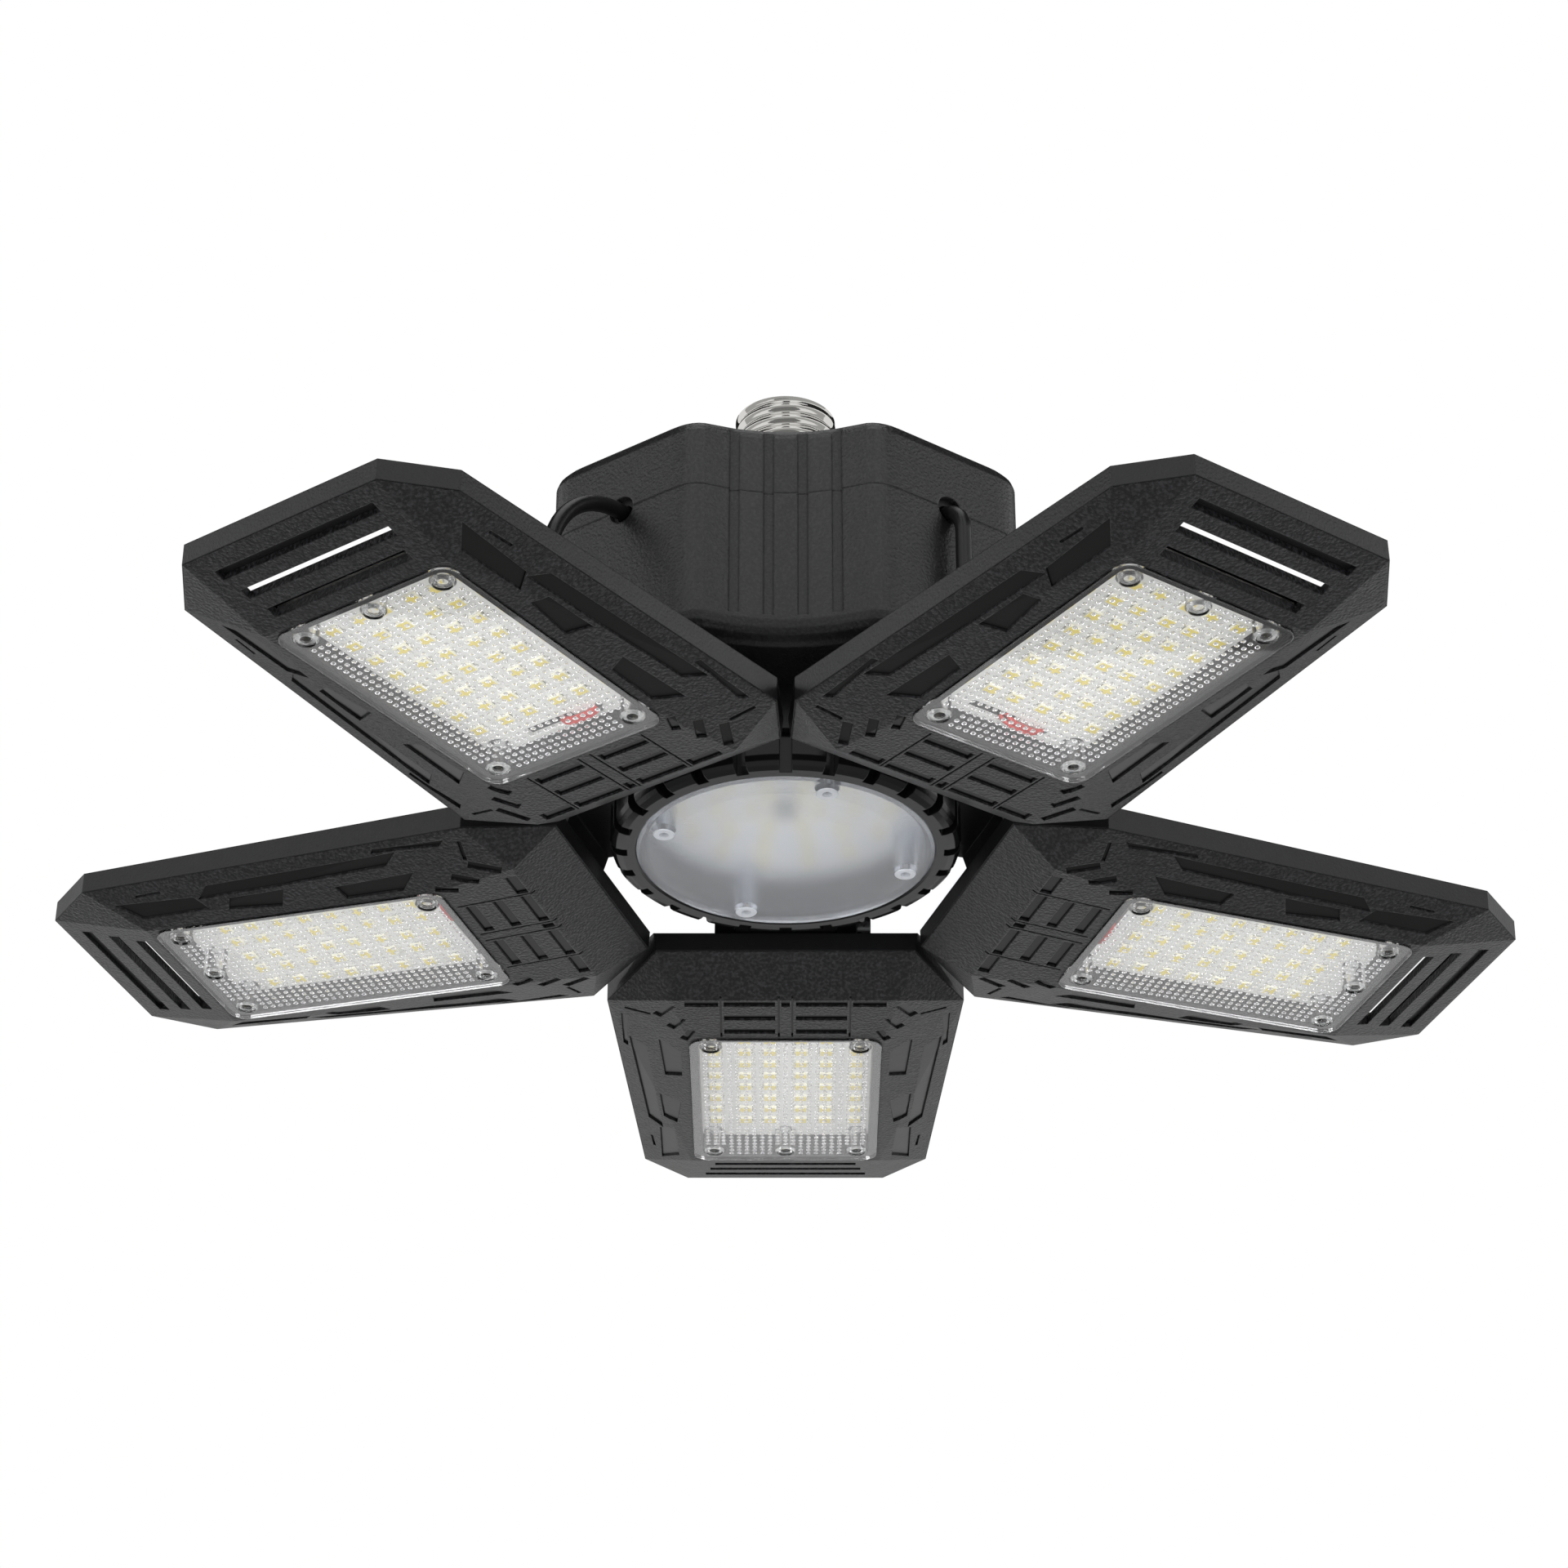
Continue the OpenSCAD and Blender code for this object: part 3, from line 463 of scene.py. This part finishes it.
# printed solder mask over an aluminium board: bright, slightly warm white
looks["board"] = softMaterial("white_solder_mask", "#f2f0ea", "#eae8e2", 0.38, 1.43, 0.12)
# moulded white body of a diode, warmed by the light of its phosphor
looks["package"] = softMaterial("diode_body_white", "#fbf7e4", "#f4efd6", 0.35, 1.11, 0.08)
# silicone with phosphor in it: the yellow window of a diode
looks["phosphor"] = softMaterial("yellow_phosphor_silicone", "#f8e68c", "#f3dc74", 0.3, 0.714, 0.1)
# the same behind the frosted lens, where it is paler
looks["palePhosphor"] = softMaterial("pale_phosphor_silicone", "#f0e2a8", "#e8d890", 0.3, 0.714, 0.1)
# ring of a screw well, moulded rough: milky
looks["washer"] = softMaterial(
    "milky_polycarbonate", "#cfd2d7", "#c3c6cc", 0.35, 1.25, 0.1, Transmission_Weight=0.3,
)
# silicone-insulated wire: an even, slightly waxy red
looks["red"] = softMaterial("red_silicone_wire", "#c8433c", "#b5322c", 0.4, 1.11, 0.1)
# vitreous insulator of the base: white with depth to it
looks["insulator"] = softMaterial(
    "white_glass_insulator", "#f2f2ef", "#e6e6e2", 0.3, 2.5, 0.05, Subsurface_Weight=0.3,
)
# parts inside the closed housing: plain green board, polyester tape and shrink sleeve
looks["driverBoard"] = softMaterial("green_solder_mask", "#2f5f3c", "#274f33", 0.4, 2, 0.1)
looks["tape"] = softMaterial("yellow_polyester_tape", "#d2b24a", "#c2a23c", 0.45, 3.33, 0.1)
looks["can"] = softMaterial("dark_shrink_sleeve", "#2b3340", "#242b36", 0.35, 3.33, 0.1)


def dress(nodeName, look):
    obj = nodes[nodeName]
    if not obj.material_slots:
        obj.data.materials.append(looks[look])
    for entry in obj.material_slots:
        entry.material = looks[look]


lampLooks = {
    "screw_shell": "nickel", "centre_contact": "contact", "base_insulator": "insulator",
    "base_collar": "hub", "upper_cover": "housing", "driver_housing": "housing",
    "driver_board": "driverBoard", "transformer": "tape", "capacitors": "can", "hub": "hub",
    "hinge_pins": "steel", "cable_grommets": "rubber", "ring": "ring", "centre_board": "board",
    "centre_leds": "palePhosphor", "centre_lens": "disc",
}
panelLooks = {
    "panel_frame": "frame", "panel_back": "back", "panel_lens": "lens", "led_board": "board",
    "panel_leds": "phosphor", "entry_grommet": "rubber", "lead": "lead",
}
for nodeName, look in lampLooks.items():
    dress(nodeName, look)
for index in panelNumbers:
    for stem, look in panelLooks.items():
        dress(f"{stem}_{index}", look)
print("stage: materials")

meshCare = {"doubles": 0.000001, "sharp": 35}


def newPiece(name, mesh, lookNames, space):
    bmesh.ops.transform(mesh, matrix=space, verts=mesh.verts)
    bmesh.ops.remove_doubles(mesh, verts=mesh.verts, dist=meshCare["doubles"])
    bmesh.ops.recalc_face_normals(mesh, faces=mesh.faces)
    # hard edges stay hard, so the flats keep a clean reflection
    for edge in mesh.edges:
        edge.smooth = len(edge.link_faces) == 2 and edge.calc_face_angle(4) < math.radians(meshCare["sharp"])
    for face in mesh.faces:
        face.smooth = True
    piece = meshObject(name, mesh, [looks[look] for look in lookNames])
    return piece


def addBox(mesh, centre, size, material=0, bevel=0.0):
    made = bmesh.ops.create_cube(mesh, size=1)
    bmesh.ops.scale(mesh, vec=size, verts=made["verts"])
    bmesh.ops.translate(mesh, vec=centre, verts=made["verts"])
    faces = {face for vert in made["verts"] for face in vert.link_faces}
    for face in faces:
        face.material_index = material
    if bevel:
        edges = list({edge for face in faces for edge in face.edges})
        bmesh.ops.bevel(
            mesh, geom=edges, offset=bevel, segments=2, affect="EDGES", profile=0.5, material=-1,
        )


def lathe(mesh, profile, centre=(0, 0), steps=24, material=0):
    verts = [mesh.verts.new((centre[0] + r, centre[1], z)) for r, z in profile]
    edges = [mesh.edges.new(pair) for pair in zip(verts, verts[1:])]
    older = set(mesh.faces)
    bmesh.ops.spin(
        mesh, geom=verts + edges, cent=(*centre, 0), axis=(0, 0, 1), angle=2 * math.pi, steps=steps,
        use_merge=True,
    )
    for face in set(mesh.faces) - older:
        face.material_index = material


# places on a panel are along it from the lamp axis, across it, and up from the hinge's own plane
panelSizes = {
    "lensAt": 0.0806, "lensLength": 0.0775, "lensWidth": 0.0506, "faceZ": 0.011, "lensThick": 0.0012,
    "boardZ": -0.0035,
}
bumpSizes = {
    "pitch": 0.00213, "outer": 0.0007, "inner": 0.0003, "height": 0.0004, "margin": 0.0032, "sides": 8,
    "gap": 0.00003, "bossRoom": 0.0037,
    "bosses": ((0.0054, 0.0197), (0.0054, -0.0197), (0.0721, 0.0197), (0.0721, -0.0197), (0.0721, 0.0)),
}


def bumpField(index):
    # rows of blunt cones on the inside of the lens, left out round its screw posts
    sizes = bumpSizes
    mesh = bmesh.new()
    posts = [(panelSizes["lensAt"] + x, y) for x, y in sizes["bosses"]]
    backZ = -panelSizes["faceZ"] + panelSizes["lensThick"] + sizes["gap"]
    alongCount = int((panelSizes["lensLength"] - 2 * sizes["margin"]) / sizes["pitch"])
    acrossCount = int((panelSizes["lensWidth"] - 2 * sizes["margin"]) / sizes["pitch"])
    middleX = panelSizes["lensAt"] + panelSizes["lensLength"] / 2
    for row in range(alongCount + 1):
        x = middleX + (row - alongCount / 2) * sizes["pitch"]
        for column in range(acrossCount + 1):
            y = (column - acrossCount / 2) * sizes["pitch"]
            if any(math.hypot(x - postX, y - postY) < sizes["bossRoom"] for postX, postY in posts):
                continue
            bmesh.ops.create_cone(
                mesh, cap_ends=True, segments=sizes["sides"], radius1=sizes["outer"],
                radius2=sizes["inner"], depth=sizes["height"],
                matrix=Matrix.Translation((x, y, backZ + sizes["height"] / 2)),
            )
    piece = newPiece(f"lens_bumps_{index}", mesh, ["bump"], panelSpace(index))
    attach(piece, f"panel_{index}")


# first, step and across are shares of the lens's length and width
ledSizes = {
    "rows": 8, "first": 0.178, "step": 0.0935, "across": (-0.375, -0.2175, -0.0815, 0.0815, 0.2175, 0.375),
    "body": (0.0030, 0.0036, 0.00072), "bodyEdge": 0.00016,
    "window": (0.0025, 0.0031, 0.00003), "windowDepth": 0.00073,
    "pad": (0.0022, 0.0005, 0.0001), "padEdge": 0.00003, "padAt": 0.0019, "padDepth": 0.00006,
}


def ledField(index):
    # each diode is a bevelled body with a window on it and a solder pad at either end
    sizes = ledSizes
    mesh = bmesh.new()
    front = panelSizes["boardZ"]
    for row in range(sizes["rows"]):
        x = panelSizes["lensAt"] + panelSizes["lensLength"] * (sizes["first"] + sizes["step"] * row)
        for share in sizes["across"]:
            y = panelSizes["lensWidth"] * share
            addBox(mesh, (x, y, front - sizes["body"][2] / 2), sizes["body"], 0, sizes["bodyEdge"])
            addBox(mesh, (x, y, front - sizes["windowDepth"]), sizes["window"], 1)
            for end in (-1, 1):
                padPlace = (x, y + end * sizes["padAt"], front - sizes["padDepth"])
                addBox(mesh, padPlace, sizes["pad"], 2, sizes["padEdge"])
    lookNames = ["package", "phosphor", "solder"]
    piece = newPiece(f"led_packages_{index}", mesh, lookNames, panelSpace(index))
    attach(piece, f"panel_{index}")
    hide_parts(f"panel_leds_{index}")


wireSizes = {
    "at": ((0.0855, -0.0002), (0.0869, 0.0006)), "radius": 0.0006, "sides": 10,  # place along, shift across
    "run": ((-0.0012, 0.0008), (0.0, -0.0004), (0.0016, -0.0011), (0.004, -0.0013), (0.0064, -0.0013),
            (0.0080, -0.0010), (0.0092, -0.0004)),                               # across, above the board
    "solderAt": 0.0098, "solderSteps": 12,
    "solder": ((0.001, 0), (0.0009, -0.0004), (0.0005, -0.0006), (0, -0.00065)),  # radius, above the board
}


def wireTails(index):
    # two red wires come through the board's slot and end in solder
    sizes = wireSizes
    mesh = bmesh.new()
    front = panelSizes["boardZ"]
    for x, shift in sizes["at"]:
        points = [Vector((x, y + shift, front + z)) for y, z in sizes["run"]]
        sweepTube(mesh, points, sizes["radius"], sizes["sides"], Vector((1, 0, 0)))
        blob = [(radius, front + z) for radius, z in sizes["solder"]]
        lathe(mesh, blob, (x, sizes["solderAt"] + shift), sizes["solderSteps"], 1)
    piece = newPiece(f"wire_tails_{index}", mesh, ["red", "solder"], panelSpace(index))
    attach(piece, f"panel_{index}")


# Relief is the depth of the moulded pattern, seat the range of heights of the lens's seat,
# and level and facing are how far down a face has to look.
skinSizes = {
    "relief": 0.0006, "slack": 0.00003, "lift": 0.00003, "seat": (-0.0099, -0.0096),
    "level": -0.9999, "facing": -0.3, "leastArea": 0.0000002,
}


def recessShadeSkins(index):
    # a thin skin of painted shade on the floors of the moulded pattern and the lens seat, taken from a copy
    # of the frame
    sizes = skinSizes
    mesh = bmesh.new()
    mesh.from_mesh(nodes[f"panel_frame_{index}"].data)
    bmesh.ops.remove_doubles(mesh, verts=mesh.verts, dist=meshCare["doubles"])
    toPanel = panelSpace(index).inverted()
    facets, skins = {}, {}
    for face in mesh.faces:
        normal = toPanel.to_3x3() @ face.normal
        middle = toPanel @ face.calc_center_median()
        if normal.z < sizes["level"] and sizes["seat"][0] < middle.z < sizes["seat"][1]:
            skins[face] = 0
        elif normal.z < sizes["facing"] and face.calc_area() > sizes["leastArea"]:
            facets.setdefault(tuple(round(v, 3) for v in normal), []).append((normal.dot(middle), face))
    for normal, offsets in facets.items():
        # a floor lies one relief behind the outermost face that looks the same way
        outermost = max(offset for offset, face in offsets)
        onSide = abs(normal[1]) > 2 * abs(normal[0])
        for offset, face in offsets:
            if abs(outermost - offset - sizes["relief"] * abs(normal[2])) < sizes["slack"]:
                skins[face] = 1 if onSide else 0
    # painted shade: groove floors and the lens seat take the near-black look, the side hollows the darker
    # smooth one
    for face, material in skins.items():
        face.material_index = material
    bmesh.ops.delete(mesh, geom=[face for face in mesh.faces if face not in skins], context="FACES")
    lifts = [(vert, vert.link_faces[0].normal * sizes["lift"]) for vert in mesh.verts]
    for vert, lift in lifts:
        vert.co += lift
    piece = meshObject(f"recess_shade_skins_{index}", mesh, [looks["recessShade"], looks["hollow"]])
    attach(piece, f"panel_{index}")


for index in panelNumbers:
    recessShadeSkins(index)
    bumpField(index)
    ledField(index)
    wireTails(index)
for piece in leadPieces:
    piece.data.materials.append(looks["lead"])
print("stage: lens bumps, LEDs and wires")

shellSizes = {
    "radius": 0.0131, "base": 0.109, "skirt": 0.005, "pitch": 0.00363, "turns": 4, "depth": 0.00078,
    "sides": 96, "rows": 70, "early": 0.0006,               # the rows start this far below the skirt's end
    "lip": ((0.0012, 0), (0.0003, 0), (0, 0.0004)),         # in from the radius, up from the base
    "shoulder": ((0.0006, 0.0004), (0.0013, 0.001), (0.0026, 0.0016), (0.0042, 0.0019),
                 (0.0052, 0.0019), (0.0052, 0.0014)),       # in from the radius, up from the thread
    "runIn": 0.0024, "runOut": 0.0022, "past": 0.0004, "crest": 0.8,
}


def threadedShell():
    # a rolled E26 thread: one smooth helix that runs out into skirt and shoulder
    sizes = shellSizes
    mesh = bmesh.new()
    outer, bottom, start = sizes["radius"], sizes["base"], sizes["base"] + sizes["skirt"]
    top = start + sizes["turns"] * sizes["pitch"]
    low = start - sizes["early"]
    profile = [(outer - inward, bottom + up) for inward, up in sizes["lip"]]
    profile += [(outer, low + (top - low) * row / sizes["rows"]) for row in range(sizes["rows"] + 1)]
    profile += [(outer - inward, top + up) for inward, up in sizes["shoulder"]]
    lathe(mesh, profile, (0, 0), sizes["sides"])
    for vert in mesh.verts:
        z = vert.co.z
        if not low <= z <= top:
            continue
        turn = math.atan2(vert.co.y, vert.co.x) / (2 * math.pi)
        wave = 0.5 - 0.5 * math.cos(2 * math.pi * ((z - start) / sizes["pitch"] - turn))
        runIn = min(1, max(0, (z - start) / sizes["runIn"]))
        runOut = min(1, max(0, (top + sizes["past"] - z) / sizes["runOut"]))
        radius = outer - sizes["depth"] * runIn * runOut * (1 - wave ** sizes["crest"])
        vert.co.x, vert.co.y = vert.co.x * radius / outer, vert.co.y * radius / outer
    piece = newPiece("threaded_shell", mesh, ["nickel"], lampSpace)
    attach(piece, "lamp")
    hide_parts("screw_shell")


# heights are up from the lamp's lowest plane, radii from the middle of what is turned
discSizes = {
    "wells": 4, "wellAt": 0.0313, "firstWell": 18.5, "face": -0.00058, "ring": (0.0012, 0.0027),
    "ringUp": 0.0012, "ringProud": 0.0001, "ringSlope": 0.0002, "ringSteps": 28,
    "screw": ((1, 0.0012), (0.7, 0.0006), (0, 0.0005)), "screwSteps": 16,  # share of the radius, height
    "board": 0.0153, "hole": 0.0032, "holeUp": 0.0002, "holeDown": 0.0003, "holeSteps": 20,
}


def discDetails():
    # milky rings round the disc's screw wells, the screws in them, and the hole in the board's middle
    sizes = discSizes
    mesh = bmesh.new()
    face, (inner, outer) = sizes["face"], sizes["ring"]
    ring = [
        (inner, face + sizes["ringUp"]), (inner, face - sizes["ringProud"]),
        (outer - sizes["ringSlope"], face - sizes["ringProud"]), (outer, face + sizes["ringSlope"]),
    ]
    screw = [(share * inner, z) for share, z in sizes["screw"]]
    for k in range(sizes["wells"]):
        angle = math.radians(sizes["firstWell"] + 360 / sizes["wells"] * k)
        place = (sizes["wellAt"] * math.cos(angle), sizes["wellAt"] * math.sin(angle))
        lathe(mesh, ring, place, sizes["ringSteps"])
        lathe(mesh, screw, place, sizes["screwSteps"], 1)
    holeTop, holeFloor = sizes["board"] + sizes["holeUp"], sizes["board"] - sizes["holeDown"]
    hole = [(sizes["hole"], holeTop), (sizes["hole"], holeFloor), (0, holeFloor)]
    lathe(mesh, hole, (0, 0), sizes["holeSteps"], 2)
    piece = newPiece("disc_screws", mesh, ["washer", "steel", "rubber"], lampSpace)
    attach(piece, "lamp")


threadedShell()
discDetails()
print("stage: shell and disc")

# sizes in metres, mottle in millimetres; glow is how much of the floor the camera sees as plain white
floorLook = {
    "half": 2.05, "front": 6.0, "z": -1.6, "tint": "#bebebc", "light": "#c0c0be", "dark": "#bababa",
    "roughness": 0.7, "mottle": 333, "glow": 0.7,
}
floorMaterial, floorTree, floorShader = newMaterial(
    "pale_painted_floor", floorLook["tint"], floorLook["roughness"],
)
floorPlace = addNode(floorTree, "ShaderNodeTexCoord", (-8, 2)).outputs["Object"]
mottle = addNode(
    floorTree, "ShaderNodeTexNoise", (-6, 2),
    {"Vector": floorPlace, "Scale": cells(floorLook["mottle"]), "Detail": 3.0},
)
floorTone = addNode(
    floorTree, "ShaderNodeMix", (-2, 3),
    {"Factor": mottle.outputs["Fac"], "A": linear(floorLook["light"]), "B": linear(floorLook["dark"])},
    data_type="RGBA",
)
feed(floorTree, floorShader, {"Base Color": floorTone.outputs["Result"]})
cameraRay = addNode(floorTree, "ShaderNodeLightPath", (0, 4))
glowShare = addNode(
    floorTree, "ShaderNodeMath", (1, 4), {0: cameraRay.outputs["Is Camera Ray"], 1: floorLook["glow"]},
    operation="MULTIPLY",
)
whiteGlow = addNode(floorTree, "ShaderNodeEmission", (1, 2), {"Color": (1, 1, 1, 1), "Strength": 1.0})
floorMix = addNode(
    floorTree, "ShaderNodeMixShader", (2, 2),
    {0: glowShare.outputs[0], 1: floorShader.outputs[0], 2: whiteGlow.outputs[0]},
)
floorTree.links.new(floorMix.outputs[0], floorTree.nodes["Material Output"].inputs["Surface"])

floorMesh = bmesh.new()
bmesh.ops.create_grid(floorMesh, x_segments=4, y_segments=4, size=floorLook["half"])
for vert in floorMesh.verts:
    if vert.co.y < -0.9 * floorLook["half"]:  # the front edge runs on under the camera
        vert.co.y = -floorLook["front"]
bmesh.ops.translate(floorMesh, vec=(0, 0, floorLook["z"]), verts=floorMesh.verts)
floor = meshObject("floor", floorMesh, [floorMaterial])

# the world is white to the eye and in reflections, and lights the lamp more gently
skyLook = {"light": 0.33, "seen": 1.0}
world = bpy.data.worlds.new("studio")
scene.world = world
world.use_nodes = True
worldTree = world.node_tree
background = worldTree.nodes["Background"]
background.inputs["Color"].default_value = (1, 1, 1, 1)
rays = addNode(worldTree, "ShaderNodeLightPath", (-4, 0))
seen = addNode(
    worldTree, "ShaderNodeMath", (-3, 1),
    {0: rays.outputs["Is Camera Ray"], 1: rays.outputs["Is Glossy Ray"]}, operation="MAXIMUM",
)
seenAny = addNode(
    worldTree, "ShaderNodeMath", (-2, 1), {0: seen.outputs[0], 1: rays.outputs["Is Transmission Ray"]},
    operation="MAXIMUM",
)
strength = addNode(
    worldTree, "ShaderNodeMapRange", (-1, 1),
    {"Value": seenAny.outputs[0], "To Min": skyLook["light"], "To Max": skyLook["seen"]},
)
worldTree.links.new(strength.outputs["Result"], background.inputs["Strength"])

# Curved cards round the lamp that only reflections see. Their spans are in degrees
# from the camera's side, and low and high are heights in metres.
cards = {
    "dark_card_high": {"radius": 1.6, "low": 1.15, "high": 4.2, "colour": "#101010",
                       "spans": ((-10, 10), (38, 178), (-178, -38))},
    "grey_card_front": {"radius": 1.6, "low": -0.45, "high": 0.45, "colour": "#b4b4b3",
                        "spans": ((-95, 95),)},
    "dark_card_left": {"radius": 1.7, "low": 0.0, "high": 1.9, "colour": "#101010", "spans": ((-160, -128),)},
    "dark_card_right": {"radius": 1.7, "low": 0.0, "high": 1.9, "colour": "#101010", "spans": ((128, 160),)},
    "grey_card_back": {"radius": 3.2, "low": -0.5, "high": 1.2, "colour": "#c9c9c8", "spans": ((160, 200),)},
}
cardLook = {"dark": "#040404", "light": "#070707", "roughness": 0.9, "mottle": 200, "steps": 12}


def studioCard(name, radius, low, high, spans, colour):
    # matt black paper that gives off its colour evenly, so that it reflects as a plain tone
    material, tree, shader = newMaterial(
        name, cardLook["dark"], cardLook["roughness"], Emission_Color=linear(colour), Emission_Strength=1.0,
    )
    place = addNode(tree, "ShaderNodeTexCoord", (-8, 2)).outputs["Object"]
    speckle = addNode(
        tree, "ShaderNodeTexNoise", (-6, 2),
        {"Vector": place, "Scale": cells(cardLook["mottle"]), "Detail": 2.0},
    )
    tone = addNode(
        tree, "ShaderNodeMix", (-2, 3),
        {"Factor": speckle.outputs["Fac"], "A": linear(cardLook["dark"]), "B": linear(cardLook["light"])},
        data_type="RGBA",
    )
    feed(tree, shader, {"Base Color": tone.outputs["Result"]})
    mesh = bmesh.new()
    for first, last in spans:
        start = math.radians(first - 90)
        ends = [(radius * math.cos(start), radius * math.sin(start), z) for z in (low, high)]
        verts = [mesh.verts.new(end) for end in ends]
        edge = mesh.edges.new(verts)
        bmesh.ops.spin(
            mesh, geom=verts + [edge], cent=(0, 0, 0), axis=(0, 0, 1), angle=math.radians(last - first),
            steps=cardLook["steps"],
        )
    card = meshObject(name, mesh, [material])
    for ray in ("camera", "diffuse", "shadow", "transmission", "volume_scatter"):
        setattr(card, f"visible_{ray}", False)


for name, sizes in cards.items():
    studioCard(name, **sizes)

# soft lamps: place and target in metres, size of the panel, power in watts
lights = {
    "key_left": {"place": (-1.5, -1.1, -0.75), "target": (0, 0, -0.08), "size": (1.0, 0.9), "watts": 22},
    "key_right": {"place": (1.5, -1.0, -0.7), "target": (0, 0, -0.08), "size": (1.0, 0.9), "watts": 19},
    "front_low": {"place": (0.0, -1.2, -1.35), "target": (0, 0, -0.1), "size": (1.4, 0.5), "watts": 17},
    "top": {"place": (0.2, -0.4, 1.5), "target": (0, 0, -0.05), "size": (1.2, 1.2), "watts": 12},
}
for name, light in lights.items():
    data = bpy.data.lights.new(name, "AREA")
    data.shape = "RECTANGLE"
    data.size, data.size_y = light["size"]
    data.energy = light["watts"]
    softLight = bpy.data.objects.new(name, data)
    softLight.visible_glossy = False  # the cards and the sky make the reflections
    softLight.location = light["place"]
    aim = Vector(light["target"]) - Vector(light["place"])
    softLight.rotation_euler = aim.to_track_quat("-Z", "Y").to_euler()
    scene.collection.objects.link(softLight)
print("stage: floor and light")
